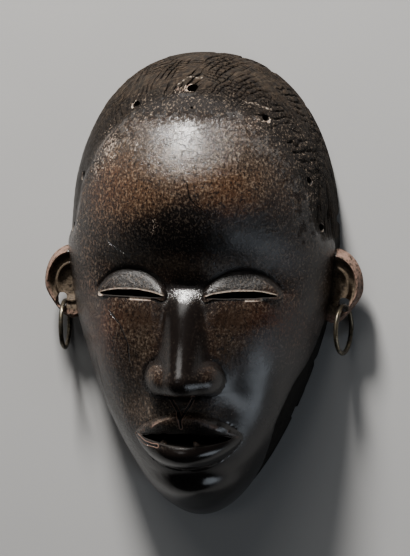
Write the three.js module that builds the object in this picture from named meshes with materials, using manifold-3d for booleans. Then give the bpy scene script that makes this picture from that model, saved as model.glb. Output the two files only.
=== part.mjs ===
// A carved wooden face mask of the Dan kind, hollow behind, lying face up on its back rim,
// with a metal ring through each ear lobe.
//
// Millimetres. +Z comes out of the face, +Y points to the crown and +X to the viewer's right.
// The origin is under the middle of the mask, in the plane of the back rim.

import * as THREE from "three";
import { mergeVertices } from "three/addons/utils/BufferGeometryUtils.js";
import Module from "manifold-3d";

// Driving dimensions
const MASK_HEIGHT = 244;
const MASK_WIDTH = 142; // without the ears
const SHELL_DEPTH = 68; // back rim to the plain of the face at the eye line
const FRONT_WALL = 15; // wood behind the face
const RIM_WALL = 9; // width of the flat back rim
const EYE_SLIT_HEIGHT = 3;
const MOUTH_GAP = 6.2;
const RIM_HOLE_DIAMETER = 4.4; // attachment holes along the crown
const CROWN_HOLE_DIAMETER = 5.6; // the middle one of them
const EAR_REACH = 16; // how far an ear stands out of the wall
const EAR_THICKNESS = 9; // at its raised outer rim
const LOBE_THICKNESS = 6.8;
const LOBE_DEPTH = 5.6; // wood below the hole in the lobe
const RING_OUTSIDE_DIAMETER = 27.5;
const RING_WIRE_DIAMETER = 2.4;
const RING_CLEARANCE = 0.35; // between a ring and the lobe that it hangs on
const LOBE_HOLE_ROOM = 3.4; // by which the hole in a lobe is wider than the ring's wire
const LEFT_RING_LEAN = 1; // degrees out of upright, with the top towards the face
const RIGHT_RING_LEAN = 12;

// The face's canon: the eye line halves the height, the nose base and the mouth are two and
// three fifths of the way from there to the chin, and the face is five eyes wide.
const CHIN = -MASK_HEIGHT / 2;
const CROWN = MASK_HEIGHT / 2;
const EYE_LINE = 0;
const NOSE_BASE = EYE_LINE + 0.4 * (CHIN - EYE_LINE);
const MOUTH_LINE = EYE_LINE + 0.6 * (CHIN - EYE_LINE);
const EYE_WIDTH = MASK_WIDTH / 5;
const EYE_CENTRE = EYE_WIDTH;
const SLIT_HALF = 0.62 * EYE_WIDTH;
const MOUTH_HALF = 0.92 * EYE_WIDTH;
const U = MASK_HEIGHT / 100; // the carving's own unit, a hundredth of the height

// How finely the surfaces are divided
const FACE_ROWS = 62;
const FACE_COLUMNS = 38;
const HOLLOW_ROWS = 24;
const HOLLOW_COLUMNS = 18;
const CURVE_STEPS = 12;
const EAR_SIDES = 28;

const wasm = await Module();
wasm.setup();

// Small helpers

const clamp01 = (t) => Math.min(1, Math.max(0, t));
const lens = (t) => Math.max(0, 1 - t * t);

function smooth(from, to, t) {
  const s = clamp01((t - from) / (to - from));
  return s * s * (3 - 2 * s);
}

// A soft hill of height 1 round (cx, cy), with reach rx and ry.
function hill(x, y, cx, cy, rx, ry) {
  return Math.exp(-(((x - cx) / rx) ** 2) - ((y - cy) / ry) ** 2);
}

// A quarter of a squarish oval: 1 where t is 0, and 0 where t is 1.
const roundOff = (t, power) => Math.pow(Math.max(0, 1 - Math.pow(t, power)), 1 / power);

// The larger of two heights, with the corner between them filled a little.
const blend = (a, b) => Math.cbrt(a * a * a + b * b * b);

// count + 1 values from -1 to 1, closer together where density is high.
function spread(count, density) {
  const FINE = 600;
  const sums = [0];
  for (let i = 0; i < FINE; i++) sums.push(sums[i] + density(-1 + (2 * i + 1) / FINE));
  const values = [];
  let k = 0;
  for (let i = 0; i <= count; i++) {
    const wanted = (sums[FINE] * i) / count;
    while (k < FINE - 1 && sums[k + 1] < wanted) k++;
    const share = (wanted - sums[k]) / (sums[k + 1] - sums[k]);
    values.push(-1 + (2 * (k + share)) / FINE);
  }
  return values;
}

function solidOf(geometry) {
  const bare = new THREE.BufferGeometry().setAttribute("position", geometry.getAttribute("position"));
  if (geometry.index) bare.setIndex(geometry.index);
  const merged = mergeVertices(bare, 1e-4);
  const mesh = new wasm.Mesh({
    numProp: 3,
    vertProperties: merged.attributes.position.array,
    triVerts: new Uint32Array(merged.index.array),
  });
  return new wasm.Manifold(mesh);
}

function closedSolid(positions, faces) {
  const geometry = new THREE.BufferGeometry();
  geometry.setAttribute("position", new THREE.Float32BufferAttribute(positions, 3));
  geometry.setIndex(faces);
  return solidOf(geometry);
}

// The solid's mesh. The cuts leave a few edges of next to no length and triangles next to flat: the
// ends of the first are drawn together, and the long edge of the second is turned over.
function geometryOf(solid) {
  const { vertProperties, triVerts, numVert, numTri } = solid.getMesh();
  const points = Array.from({ length: numVert }, (_, i) => new THREE.Vector3().fromArray(vertProperties, 3 * i));
  let faces = Array.from({ length: numTri }, (_, i) => Array.from(triVerts.subarray(3 * i, 3 * i + 3)));
  for (let round = 0; round < 3; round++) faces = turnFlatFaces(points, closeShortEdges(points, faces));
  const geometry = new THREE.BufferGeometry();
  geometry.setAttribute("position", new THREE.BufferAttribute(vertProperties, 3));
  geometry.setIndex(faces.flat());
  geometry.computeVertexNormals();
  return geometry;
}

function closeShortEdges(points, allFaces) {
  const SHORTEST = 0.05;
  let faces = allFaces;
  const around = (v) => new Set(faces.filter((face) => face.includes(v)).flat());
  for (const face of allFaces) {
    for (const i of [0, 1, 2]) {
      const [a, b] = [face[i], face[(i + 1) % 3]];
      if (a === b || points[a].distanceTo(points[b]) > SHORTEST) continue;
      const nearB = around(b);
      const shared = [...around(a)].filter((v) => nearB.has(v) && v !== a && v !== b);
      if (shared.length !== 2) continue;
      for (const other of faces) if (other.includes(b)) other[other.indexOf(b)] = a;
      faces = faces.filter((other) => new Set(other).size === 3);
    }
  }
  return faces;
}

function turnFlatFaces(points, faces) {
  const FLATTEST = 0.03;
  const owner = new Map();
  const key = (a, b) => a * points.length + b;
  const claim = (face) => face.forEach((a, i) => owner.set(key(a, face[(i + 1) % 3]), face));
  faces.forEach(claim);
  for (const face of faces) {
    const length = (i) => points[face[i]].distanceTo(points[face[(i + 1) % 3]]);
    const longest = [0, 1, 2].reduce((best, i) => (length(i) > length(best) ? i : best));
    const [a, b, c] = [0, 1, 2].map((i) => face[(longest + i) % 3]);
    const area = new THREE.Triangle(points[a], points[b], points[c]).getArea();
    const other = owner.get(key(b, a));
    const d = other.find((v) => v !== a && v !== b);
    if ((2 * area) / length(longest) > FLATTEST || owner.has(key(c, d)) || owner.has(key(d, c))) continue;
    owner.delete(key(a, b));
    owner.delete(key(b, a));
    face.splice(0, 3, a, d, c);
    other.splice(0, 3, d, b, c);
    claim(face);
    claim(other);
  }
  return faces;
}

// The mask's plain form: an oval in plan, narrower at the chin, and a dome over it

const WIDEST = 9 * U; // level of the temples
const UPPER_POWER = 2.25; // roundness of the crown in plan
const JAW_TAPER = 0.27; // how far the jaw is drawn in towards the chin
const SECTION_POWER = 2.15;
const CROWN_PROFILE_POWER = 2.5;
const CHIN_PROFILE_POWER = 2.3;

// Half the width of such an oval of this height and greatest half width, at level y.
function outline(y, half, height) {
  const widest = (WIDEST * height) / MASK_HEIGHT;
  if (y > widest) {
    return half * roundOff((y - widest) / (height / 2 - widest), UPPER_POWER);
  }
  const t = (widest - y) / (height / 2 + widest);
  return half * Math.sqrt(lens(t)) * (1 - JAW_TAPER * Math.pow(t, 1.4));
}

// Height of the dome's midline above the back rim, at level y.
function profile(y, depth, height) {
  return depth * roundOff(Math.abs(y) / (height / 2), y > 0 ? CROWN_PROFILE_POWER : CHIN_PROFILE_POWER);
}

// Share of the midline's height at a share s of the half width.
const section = (s) => roundOff(Math.abs(s), SECTION_POWER);

// The carving of the face, as heights above the plain form

const BROW_HOLLOW = 2.6 * U;
const LID_CREASE = 0.85 * U;
const LID_SWELL = 1.35 * U;
const LID_HEIGHT = 4.6 * U;
const CHEEK_LEDGE = 1.25 * U;
const CHEEK_SWELL = 1.7 * U;
const NOSE_HEIGHT = 6.8 * U;
const WING_HEIGHT = 4.1 * U;
const NOSTRIL_PLACE = 4.3 * U;
const UPPER_LIP = 4.9 * U; // mouth line to the lip's edge
const LOWER_LIP = 6.2 * U;
const GAP_SHARE = 0.89; // of the mouth's width that is open

// The slit's upper and lower edge over the eye line, at a share a of its half length.
const slitTop = (a) => EYE_SLIT_HEIGHT * Math.pow(lens(a), 0.8);
const slitBottom = (a) => -0.1 * EYE_SLIT_HEIGHT * lens(a);

// A place across the eye: 0 in its middle and 1 at the lid's corners.
const lidShare = (x) => (Math.abs(x) - EYE_CENTRE) / (1.12 * SLIT_HALF);

// The upper end of the lid over the eye line.
const lidCrease = (a) => slitTop(a / 1.05) + LID_HEIGHT * Math.pow(lens(a), 0.75) - 0.4 * U;

// A full upper lid over the slit, set off by a groove above it.
function lidRelief(x, y) {
  const a = lidShare(x);
  const inside = lens(a);
  const up = y - EYE_LINE;
  const crease = lidCrease(a);
  const groove = Math.exp(-(((up - crease) / (0.75 * U)) ** 2)) * smooth(-0.02, 0.18, inside);
  if (up < -0.4 * U || up > crease) return -LID_CREASE * groove;
  const share = (up + 0.4 * U) / Math.max(crease + 0.4 * U, 0.1 * U);
  const round = Math.pow(Math.sin(Math.PI * (0.22 + 0.78 * share)), 0.8);
  return LID_SWELL * smooth(0, 0.3, inside) * round - LID_CREASE * groove;
}

// The cheek starts with a low ledge under the slit.
function cheekRelief(x, y) {
  const side = Math.abs(x);
  const below = 1 - smooth(EYE_LINE - 0.45 * U, EYE_LINE + 0.1 * U, y);
  const span = smooth(3 * U, 7 * U, side) * (1 - smooth(15 * U, 23 * U, side));
  const ledge = CHEEK_LEDGE * below * span * Math.exp(-(((y - EYE_LINE) / (16 * U)) ** 2));
  return ledge + CHEEK_SWELL * hill(side, y, 16 * U, -9 * U, 8.5 * U, 11 * U);
}

// Share of the nose's full height on its ridge line: down from the root to the tip, then rounded under.
function ridgeLine(y) {
  const root = EYE_LINE + 1.5 * U;
  const tip = NOSE_BASE + 3.4 * U;
  if (y >= tip) return 0.14 + 0.86 * Math.pow(clamp01((root - y) / (root - tip)), 1.3);
  return 0.5 + 0.5 * Math.sqrt(lens(Math.min(1, (tip - y) / (tip - NOSE_BASE)) * 0.9));
}

function noseRelief(x, y) {
  const side = Math.abs(x);
  const down = clamp01((EYE_LINE - y) / (EYE_LINE - NOSE_BASE));
  const height = ridgeLine(y) * NOSE_HEIGHT * smooth(EYE_LINE + 4 * U, EYE_LINE - U, y);
  const ridge = 0.88 * height * Math.exp(-Math.pow(side / ((3.2 + 1.1 * down) * U), 2.4));
  const apart = ((side - NOSTRIL_PLACE) / (3.7 * U)) ** 2 + ((y - NOSE_BASE - 2.9 * U) / (3.8 * U)) ** 2;
  const wing = WING_HEIGHT * Math.pow(Math.max(0, 1 - apart), 0.8);
  const base = smooth(NOSE_BASE - 0.5 * U, NOSE_BASE + 0.5 * U, y);
  const foot = 0.3 * height * Math.exp(-((x / (7.2 * U)) ** 2));
  return blend(ridge, wing) * base + foot * smooth(NOSE_BASE - 5 * U, NOSE_BASE + 3 * U, y);
}

// The mouth's opening and the lips' outer edges, from the mouth line, at a share a of half its width.
const gapTop = (a) => 0.5 * MOUTH_GAP * Math.pow(lens(a / GAP_SHARE), 0.9);
const gapBottom = (a) => -gapTop(a);
const lowerLipEdge = (a) => -LOWER_LIP * Math.pow(lens(a), 0.62);

// The upper one dips in the middle.
function upperLipEdge(a) {
  const bow = Math.pow(clamp01(1 - Math.pow(Math.abs(a), 1.45)), 0.9);
  return UPPER_LIP * bow * (1 - 0.1 * hill(a, 0, 0, 0, 0.13, 1));
}

function lipRelief(x, y) {
  const a = x / MOUTH_HALF;
  const up = y - MOUTH_LINE;
  const inside = lens(a);
  if (up >= 0) {
    const edge = upperLipEdge(a);
    const share = clamp01((up - gapTop(a)) / Math.max(edge - gapTop(a), 0.2 * U));
    const out = 2.6 * U * Math.pow(inside, 0.7) * (0.25 + 0.75 * share);
    return out * (1 - smooth(edge - 0.1 * U, edge + 0.9 * U, up));
  }
  const share = clamp01((gapBottom(a) - up) / Math.max(gapBottom(a) - lowerLipEdge(a), 0.2 * U));
  const round = Math.pow(Math.max(0, Math.sin(Math.PI * (0.2 + 0.8 * share))), 0.75);
  return 3.7 * U * Math.pow(inside, 0.6) * round;
}

function faceRelief(x, y) {
  const side = Math.abs(x);
  const forehead = 6.4 * U * hill(x, y, 0, 24 * U, 20 * U, 15 * U);
  const socket = -BROW_HOLLOW * hill(side, y, EYE_CENTRE, 4.5 * U, 9.5 * U, 5.5 * U);
  const root = -1.6 * U * hill(x, y, 0, 1.6 * U, 5 * U, 3 * U);
  const muzzle = 4.4 * U * hill(x, y, 0, MOUTH_LINE, 15 * U, 11 * U);
  const fold = -1.1 * U * hill(side, y, 10 * U, NOSE_BASE - 3 * U, 4 * U, 6 * U);
  const underLip = -1.9 * U * hill(x, y, 0, MOUTH_LINE - 8.2 * U, 9 * U, 2.4 * U);
  const philtrum = -0.5 * U * hill(x, y, 0, NOSE_BASE - 2.4 * U, 1.8 * U, 2.4 * U);
  const chin = 4.8 * U * hill(x, y, 0, CHIN + 9.5 * U, 10 * U, 6 * U);
  return forehead + socket + root + muzzle + fold + underLip + philtrum + chin
    + lidRelief(x, y) + cheekRelief(x, y) + noseRelief(x, y) + lipRelief(x, y);
}

// The plain form with the carving on it, let down to nothing where the face turns into the wall.
function surfaceHeight(x, y) {
  const width = outline(y, MASK_WIDTH / 2, MASK_HEIGHT);
  const plain = section(Math.min(1, Math.abs(x) / width)) * profile(y, SHELL_DEPTH, MASK_HEIGHT);
  return plain + faceRelief(x, y) * smooth(0, 0.45 * SHELL_DEPTH, plain);
}

function surfaceNormal(x, y) {
  const STEP = 0.05;
  const right = surfaceHeight(x + STEP, y) - surfaceHeight(x - STEP, y);
  const up = surfaceHeight(x, y + STEP) - surfaceHeight(x, y - STEP);
  return new THREE.Vector3(-right, -up, 2 * STEP).normalize();
}

// Two bands stay at the plain form, and the polished face stands a little proud of them: the rough
// one round the crown, and a narrow one along the whole back rim

const FACE_PROUD = 0.8 * U;
const RIM_BAND_WIDTH = 6.2 * U;
const EAR_LEVEL = 0.3 * U; // middle of the ears
const EAR_HALF = 8 * U;

// The hairline, as a share of the way from the temples' level to the crown's edge: 0.8 at the
// middle, where across is 0, and lower down the sides, where it nears 1.
const hairline = (across) => 0.8 + 0.09 * across * across;

// 1 on the polished face, 0 on the bands.
function proudShare(x, y, z) {
  const share = Math.max(Math.hypot(x / (MASK_WIDTH / 2), (y - WIDEST) / (CROWN - WIDEST)), 0.01);
  const edge = hairline(x / (MASK_WIDTH / 2) / share);
  const above = smooth(EAR_LEVEL + 0.8 * EAR_HALF, EAR_LEVEL + 2 * EAR_HALF, y);
  const crown = above * smooth(edge - 0.02, edge + 0.02, share);
  return smooth(RIM_BAND_WIDTH - 0.5 * U, RIM_BAND_WIDTH + 1.2 * U, z) * (1 - crown);
}

// Bends the levels from 0 to top so that top meets the edge, and lets them come straight again by
// the level end. The three have one sign.
function bend(level, top, edge, end) {
  const t = level / top;
  if (t <= 0 || level / end >= 1) return level;
  const least = Math.max(edge / top, 0.3);
  if (t < 1) return level * least;
  return top * least + (level - top) * ((end - top * least) / (end - top));
}

// Rows of the surface follow the lids' creases and the lips' edges.
function rowLevel(x, y) {
  const lid = bend(y - EYE_LINE, lidCrease(0), lidCrease(lidShare(x)), 17 * U) + EYE_LINE;
  const lip = x / MOUTH_HALF;
  const upper = bend(lid - MOUTH_LINE, UPPER_LIP, upperLipEdge(lip), 1.9 * UPPER_LIP);
  return MOUTH_LINE - bend(-upper, LOWER_LIP, -lowerLipEdge(lip), 2 * LOWER_LIP);
}

// The face's surface. across and along run from -1 to 1, from the rim on the left to that on the
// right, and from the chin to the crown.
function facePoint(across, along) {
  const s = Math.sin((across * Math.PI) / 2);
  const level = (MASK_HEIGHT / 2) * Math.sin((along * Math.PI) / 2);
  const y = rowLevel(s * outline(level, MASK_WIDTH / 2, MASK_HEIGHT), level);
  const x = s * outline(y, MASK_WIDTH / 2, MASK_HEIGHT);
  const point = new THREE.Vector3(x, y, surfaceHeight(x, y));
  const proud = FACE_PROUD * proudShare(x, y, point.z);
  return proud > 0 ? point.addScaledVector(surfaceNormal(x, y), proud) : point;
}

// The hollow behind the face, smoother than the face itself.
function hollowPoint(across, along) {
  const height = MASK_HEIGHT - 2 * RIM_WALL;
  const y = (height / 2) * Math.sin((along * Math.PI) / 2);
  const s = Math.sin((across * Math.PI) / 2);
  const x = s * outline(y, MASK_WIDTH / 2 - RIM_WALL, height);
  const plain = section(s) * profile(y, SHELL_DEPTH - FRONT_WALL, height);
  const brow = 3.6 * U * hill(x, y, 0, 24 * U, 18 * U, 14 * U);
  const nose = 4.5 * U * hill(x, y, 0, NOSE_BASE + 2 * U, 7 * U, 9 * U);
  const mouth = 2.2 * U * hill(x, y, 0, MOUTH_LINE, 11 * U, 9 * U);
  return new THREE.Vector3(x, y, plain + (brow + nose + mouth) * smooth(0, 0.4 * SHELL_DEPTH, plain));
}

// A closed dome on a flat base at z = 0, from rows of points that shrink to a pole at each end.
function dome(point, alongs, acrosses) {
  const rows = alongs.length - 1;
  const columns = acrosses.length - 1;
  const positions = [];
  const faces = [];
  const add = (p) => positions.push(p.x, p.y, p.z);
  const onRow = (i, j) => 1 + (i - 1) * (columns + 1) + j;
  add(point(0, -1).setX(0).setZ(0));
  for (let i = 1; i < rows; i++) {
    for (let j = 0; j <= columns; j++) {
      const p = point(acrosses[j], alongs[i]);
      if (j === 0 || j === columns) p.z = 0;
      add(p);
    }
  }
  add(point(0, 1).setX(0).setZ(0));
  const last = positions.length / 3 - 1;
  const at = (i, j) => {
    if (i === 0) return 0;
    return i === rows ? last : onRow(i, j);
  };
  for (let i = 0; i < rows; i++) {
    for (let j = 0; j < columns; j++) {
      if (i > 0) faces.push(at(i, j), at(i, j + 1), at(i + 1, j + 1));
      if (i < rows - 1) faces.push(at(i, j), at(i + 1, j + 1), at(i + 1, j));
    }
    if (i < rows - 1) faces.push(at(i, 0), at(i + 1, 0), at(i + 1, columns));
    if (i > 0) faces.push(at(i, 0), at(i + 1, columns), at(i, columns));
  }
  return closedSolid(positions, faces);
}

// Rows are closest at the eyes, the nose base and the mouth, columns near the middle.
function rowDensity(v) {
  const y = (MASK_HEIGHT / 2) * Math.sin((v * Math.PI) / 2);
  const eyes = 2.3 * hill(0, y, 0, EYE_LINE + 1.5 * U, 1, 4.5 * U);
  const nose = 1.6 * hill(0, y, 0, NOSE_BASE, 1, 4 * U);
  const mouth = 2.6 * hill(0, y, 0, MOUTH_LINE, 1, 7 * U);
  return 1 + eyes + nose + mouth;
}

const columnDensity = (v) => 1 + 1.5 * hill(v, 0, 0, 0, 0.36, 1);

function faceSolid() {
  return dome(facePoint, spread(FACE_ROWS, rowDensity), spread(FACE_COLUMNS, columnDensity));
}

function hollowSolid() {
  const even = () => 1;
  return dome(hollowPoint, spread(HOLLOW_ROWS, even), spread(HOLLOW_COLUMNS, even));
}

// Cuts through the wall

// A prism along Z between a lower and an upper edge, each given at shares of its half width, with
// blunt corners.
function lensCutter(cx, cy, half, bottom, top) {
  const BLUNT = 0.3;
  const shares = Array.from({ length: CURVE_STEPS + 1 }, (_, i) => -Math.cos((Math.PI * i) / CURVE_STEPS));
  const lower = shares.map((a) => new THREE.Vector2(cx + a * half, cy + bottom(a) - BLUNT));
  const upper = shares.map((a) => new THREE.Vector2(cx + a * half, cy + top(a) + BLUNT));
  const points = [...lower, ...upper.reverse()];
  const options = { depth: 2 * SHELL_DEPTH, bevelEnabled: false };
  const geometry = new THREE.ExtrudeGeometry(new THREE.Shape(points), options);
  return solidOf(geometry.translate(0, 0, 0.3 * SHELL_DEPTH));
}

function slitCutter(side) {
  return lensCutter(side * EYE_CENTRE, EYE_LINE, SLIT_HALF, slitBottom, slitTop);
}

function mouthCutter() {
  const open = (edge) => (a) => edge(a * GAP_SHARE);
  return lensCutter(0, MOUTH_LINE, GAP_SHARE * MOUTH_HALF, open(gapBottom), open(gapTop));
}

// Each nostril is a shallow round hollow under a wing of the nose.
function nostrilCutter(side) {
  const surface = surfaceHeight(0, NOSE_BASE);
  const geometry = new THREE.SphereGeometry(1, 12, 8);
  geometry.scale(1.3 * U, 1.9 * U, 1.9 * U);
  geometry.translate(side * 0.66 * NOSTRIL_PLACE, NOSE_BASE - 0.2 * U, surface - 0.5 * U);
  return solidOf(geometry);
}

// The attachment holes stand along the hairline, square to the surface.
const RIM_HOLE_ANGLES = [-84, -66, -29, 0, 38, 67, 83]; // degrees from the middle of the crown

function rimHoleCutter(angle) {
  const turn = THREE.MathUtils.degToRad(angle);
  const direction = new THREE.Vector2(Math.sin(turn), Math.cos(turn));
  const reach = hairline(direction.x) + 0.035;
  const x = direction.x * reach * (MASK_WIDTH / 2);
  const y = WIDEST + direction.y * reach * (CROWN - WIDEST);
  const radius = (angle === 0 ? CROWN_HOLE_DIAMETER : RIM_HOLE_DIAMETER) / 2;
  const geometry = new THREE.CylinderGeometry(radius, radius, 2.4 * (FRONT_WALL + RIM_WALL), 10);
  const upright = new THREE.Quaternion().setFromUnitVectors(new THREE.Vector3(0, 1, 0), surfaceNormal(x, y));
  return solidOf(geometry.applyQuaternion(upright).translate(x, y, surfaceHeight(x, y)));
}

// Two stumps of teeth stand on the inside of the lower lip.
const TOOTH_WIDTH = 1.5 * U;
const TOOTH_PLACES = [-0.42, 0.24]; // shares of half the mouth's width

function tooth(share) {
  const x = share * MOUTH_HALF;
  const y = MOUTH_LINE + gapBottom(share);
  const geometry = new THREE.SphereGeometry(1, 10, 8);
  geometry.scale(TOOTH_WIDTH / 2, 0.9 * U, 0.9 * U);
  return solidOf(geometry.translate(x, y, surfaceHeight(x, y) - 1.2 * U));
}

// The ears

const WALL_X = outline(EAR_LEVEL, MASK_WIDTH / 2, MASK_HEIGHT);
const EAR_HALF_WIDTH = 0.95 * EAR_REACH;
const EAR_X = WALL_X + EAR_REACH - EAR_HALF_WIDTH;
const EAR_RINGS = [0.26, 0.4, 0.52, 0.64, 0.74, 0.84, 0.93, 1]; // from its middle, 0, to its edge
const LOBE_MIDDLE_Z = RING_OUTSIDE_DIAMETER / 2; // so that a ring through the lobe stands on the floor
const EAR_BACK_Z = LOBE_MIDDLE_Z - LOBE_THICKNESS / 2;
const HOLE_WIDTH = RING_WIRE_DIAMETER + LOBE_HOLE_ROOM;
const HOLE_X = WALL_X + 0.4 * EAR_REACH;
const HOLE_BOTTOM = EAR_LEVEL - EAR_HALF + LOBE_DEPTH;
const HOLE_TOP = HOLE_BOTTOM + 3.4 * RING_WIRE_DIAMETER;

// A point of the ear's plan at a turn from the right, and a share of the way to its edge.
function earPlan(turn, share) {
  const up = Math.sin(turn) * share;
  const narrow = 1 - 0.3 * smooth(0.1, 1, -up);
  const out = Math.cos(turn) * share * narrow;
  return new THREE.Vector2(EAR_X + EAR_HALF_WIDTH * out, EAR_LEVEL + EAR_HALF * up);
}

// Thickness there: a raised outer rim, a trough, a lower ridge and a dish, all lost in the lobe.
function earThickness(turn, share) {
  const rim = 0.56 * hill(share, 0, 0.84, 0, 0.1, 1);
  const ridge = 0.36 * hill(share, 0, 0.52, 0, 0.09, 1);
  const lobe = smooth(0.4, 0.75, -Math.sin(turn) * share);
  const edge = 1 - 0.35 * smooth(0.9, 1, share);
  return (EAR_THICKNESS * (0.44 + rim + ridge) * (1 - lobe) + LOBE_THICKNESS * lobe) * edge;
}

function lobeHole() {
  const r = HOLE_WIDTH / 2;
  const shape = new THREE.Shape();
  shape.absarc(HOLE_X, HOLE_TOP - r, r, 0, Math.PI);
  shape.absarc(HOLE_X, HOLE_BOTTOM + r, r, Math.PI, 2 * Math.PI);
  const options = { depth: 3 * EAR_THICKNESS, bevelEnabled: false, curveSegments: 6 };
  const geometry = new THREE.ExtrudeGeometry(shape, options);
  return solidOf(geometry.translate(0, 0, LOBE_MIDDLE_Z - options.depth / 2));
}

// The right ear, from rings of points round its middle, a flat back and the hole in its lobe.
function rightEar() {
  const positions = [EAR_X, EAR_LEVEL, EAR_BACK_Z + earThickness(0, 0)];
  const addRing = (share, thickness) => {
    for (let i = 0; i < EAR_SIDES; i++) {
      const turn = (2 * Math.PI * i) / EAR_SIDES;
      const p = earPlan(turn, share);
      positions.push(p.x, p.y, EAR_BACK_Z + thickness(turn, share));
    }
  };
  for (const share of EAR_RINGS) addRing(share, earThickness);
  addRing(1, () => 0);
  const back = positions.length / 3;
  positions.push(EAR_X, EAR_LEVEL, EAR_BACK_Z);

  const faces = [];
  for (let i = 0; i < EAR_SIDES; i++) {
    const next = (i + 1) % EAR_SIDES;
    faces.push(0, 1 + i, 1 + next);
    for (let k = 0; k < EAR_RINGS.length; k++) {
      const inner = 1 + k * EAR_SIDES;
      const outer = inner + EAR_SIDES;
      faces.push(inner + i, outer + i, outer + next);
      faces.push(inner + i, outer + next, inner + next);
    }
    faces.push(back, back - EAR_SIDES + next, back - EAR_SIDES + i);
  }
  return closedSolid(positions, faces).subtract(lobeHole());
}

function maskSolid() {
  const hollow = hollowSolid();
  const right = rightEar();
  const left = right.mirror([1, 0, 0]);
  let solid = faceSolid().add(right).add(left).subtract(hollow);
  for (const side of [-1, 1]) {
    solid = solid.subtract(slitCutter(side)).subtract(nostrilCutter(side));
  }
  solid = solid.subtract(mouthCutter());
  for (const share of TOOTH_PLACES) solid = solid.add(tooth(share));
  for (const angle of RIM_HOLE_ANGLES) solid = solid.subtract(rimHoleCutter(angle));
  return solid;
}

// The rings: each passes through its lobe near the side of the hole that is towards the face, above
// the hole's round lower end, and stands on the floor beside the mask that lies on its rim

function ringGeometry(side, lean) {
  const angle = THREE.MathUtils.degToRad(lean);
  const wire = RING_WIRE_DIAMETER / 2;
  const middle = RING_OUTSIDE_DIAMETER / 2 - wire;
  const geometry = new THREE.TorusGeometry(middle, wire, 8, 26);
  geometry.rotateY(Math.PI / 2 - side * angle);
  geometry.computeBoundingBox();
  const halfThickness = LOBE_THICKNESS / 2 + RING_CLEARANCE;
  const inner = middle - wire;
  const drop = Math.sqrt(inner * inner - halfThickness * halfThickness);
  const x = HOLE_X - LOBE_HOLE_ROOM / 2 + RING_CLEARANCE + halfThickness * Math.tan(angle);
  const y = HOLE_BOTTOM + LOBE_HOLE_ROOM / 2 - drop;
  return geometry.translate(side * x, y, -geometry.boundingBox.min.z);
}

const wood = new THREE.MeshStandardMaterial({ color: 0x2a1a12, roughness: 0.38, metalness: 0 });
const metal = new THREE.MeshStandardMaterial({ color: 0x6b6048, roughness: 0.42, metalness: 0.9 });

function named(name, geometry, material) {
  const mesh = new THREE.Mesh(geometry, material);
  mesh.name = name;
  return mesh;
}

const mask = new THREE.Group();
mask.add(named("mask", geometryOf(maskSolid()), wood));
mask.add(named("earring_left", ringGeometry(-1, LEFT_RING_LEAN), metal));
mask.add(named("earring_right", ringGeometry(1, RIGHT_RING_LEAN), metal));

export default mask;
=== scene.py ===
"""The looks of a carved wooden face mask of the Dan kind, lying face up with a ring in each ear lobe.

Lengths are in millimetres, in the frame's own axes, until a mesh is made of them: +Z out of the face,
+Y to the crown, +X to the viewer's right.
"""

import math

import bmesh
import bpy
import numpy as np
from mathutils import Matrix, Vector


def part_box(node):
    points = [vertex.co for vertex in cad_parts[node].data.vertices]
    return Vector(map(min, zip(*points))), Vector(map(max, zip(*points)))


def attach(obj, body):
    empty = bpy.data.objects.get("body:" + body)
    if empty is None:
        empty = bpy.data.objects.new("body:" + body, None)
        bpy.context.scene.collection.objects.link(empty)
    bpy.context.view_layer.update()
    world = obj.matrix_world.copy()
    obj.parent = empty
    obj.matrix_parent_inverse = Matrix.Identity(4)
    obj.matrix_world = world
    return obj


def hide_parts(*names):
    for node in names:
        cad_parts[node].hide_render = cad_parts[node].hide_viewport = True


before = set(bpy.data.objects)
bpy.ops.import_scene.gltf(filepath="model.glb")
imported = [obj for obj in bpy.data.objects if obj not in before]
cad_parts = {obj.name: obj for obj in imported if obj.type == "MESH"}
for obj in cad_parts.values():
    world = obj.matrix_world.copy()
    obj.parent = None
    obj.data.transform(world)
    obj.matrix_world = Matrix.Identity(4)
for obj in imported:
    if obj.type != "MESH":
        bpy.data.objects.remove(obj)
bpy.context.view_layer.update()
MM = 0.001

# Sizes of the frame's solids

mask_low, mask_high = (np.array(corner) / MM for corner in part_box("mask"))
HEIGHT = mask_high[1] - mask_low[1]
SCALE = HEIGHT / 244
U = HEIGHT / 100  # the carving's own unit
SHELL_DEPTH = 68 * SCALE
FRONT_WALL = 15 * SCALE
RIM_WALL = 9 * SCALE
EYE_SLIT_HEIGHT = 3 * SCALE
MOUTH_GAP = 6.2 * SCALE
RIM_HOLE_DIAMETER = 4.4 * SCALE
CROWN_HOLE_DIAMETER = 5.6 * SCALE
EAR_REACH = 16 * SCALE
EAR_THICKNESS = 9 * SCALE
LOBE_THICKNESS = 6.8 * SCALE
LOBE_DEPTH = 5.6 * SCALE
RING_WIRE = 2.4 * SCALE
LOBE_HOLE_ROOM = 3.4 * SCALE
BLUNT = 0.3 * SCALE  # half the height of an opening at its pointed ends
RING_LEANS = {"earring_left": -1, "earring_right": 12}  # degrees out of upright

# The canon of the face

CHIN = -HEIGHT / 2
CROWN = HEIGHT / 2
EYE_LINE = 0
NOSE_BASE = 0.4 * CHIN
MOUTH_LINE = 0.6 * CHIN
WIDEST = 9 * U
EAR_LEVEL = 0.3 * U
EAR_HALF = 8 * U
UPPER_POWER = 2.25
JAW_TAPER = 0.27
SECTION_POWER = 2.15
CROWN_PROFILE_POWER = 2.5
CHIN_PROFILE_POWER = 2.3

# How finely the surfaces are divided

FACE_ROWS = 330
FACE_COLUMNS = 216
HOLLOW_ROWS = 120
HOLLOW_COLUMNS = 90
EAR_SIDES = 120
EAR_RINGS = 30


# Small helpers


def clamp01(t):
    return np.clip(t, 0, 1)


def lens(t):
    return np.maximum(0, 1 - t * t)


def smooth(low, high, t):
    s = clamp01((t - low) / (high - low))
    return s * s * (3 - 2 * s)


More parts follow.
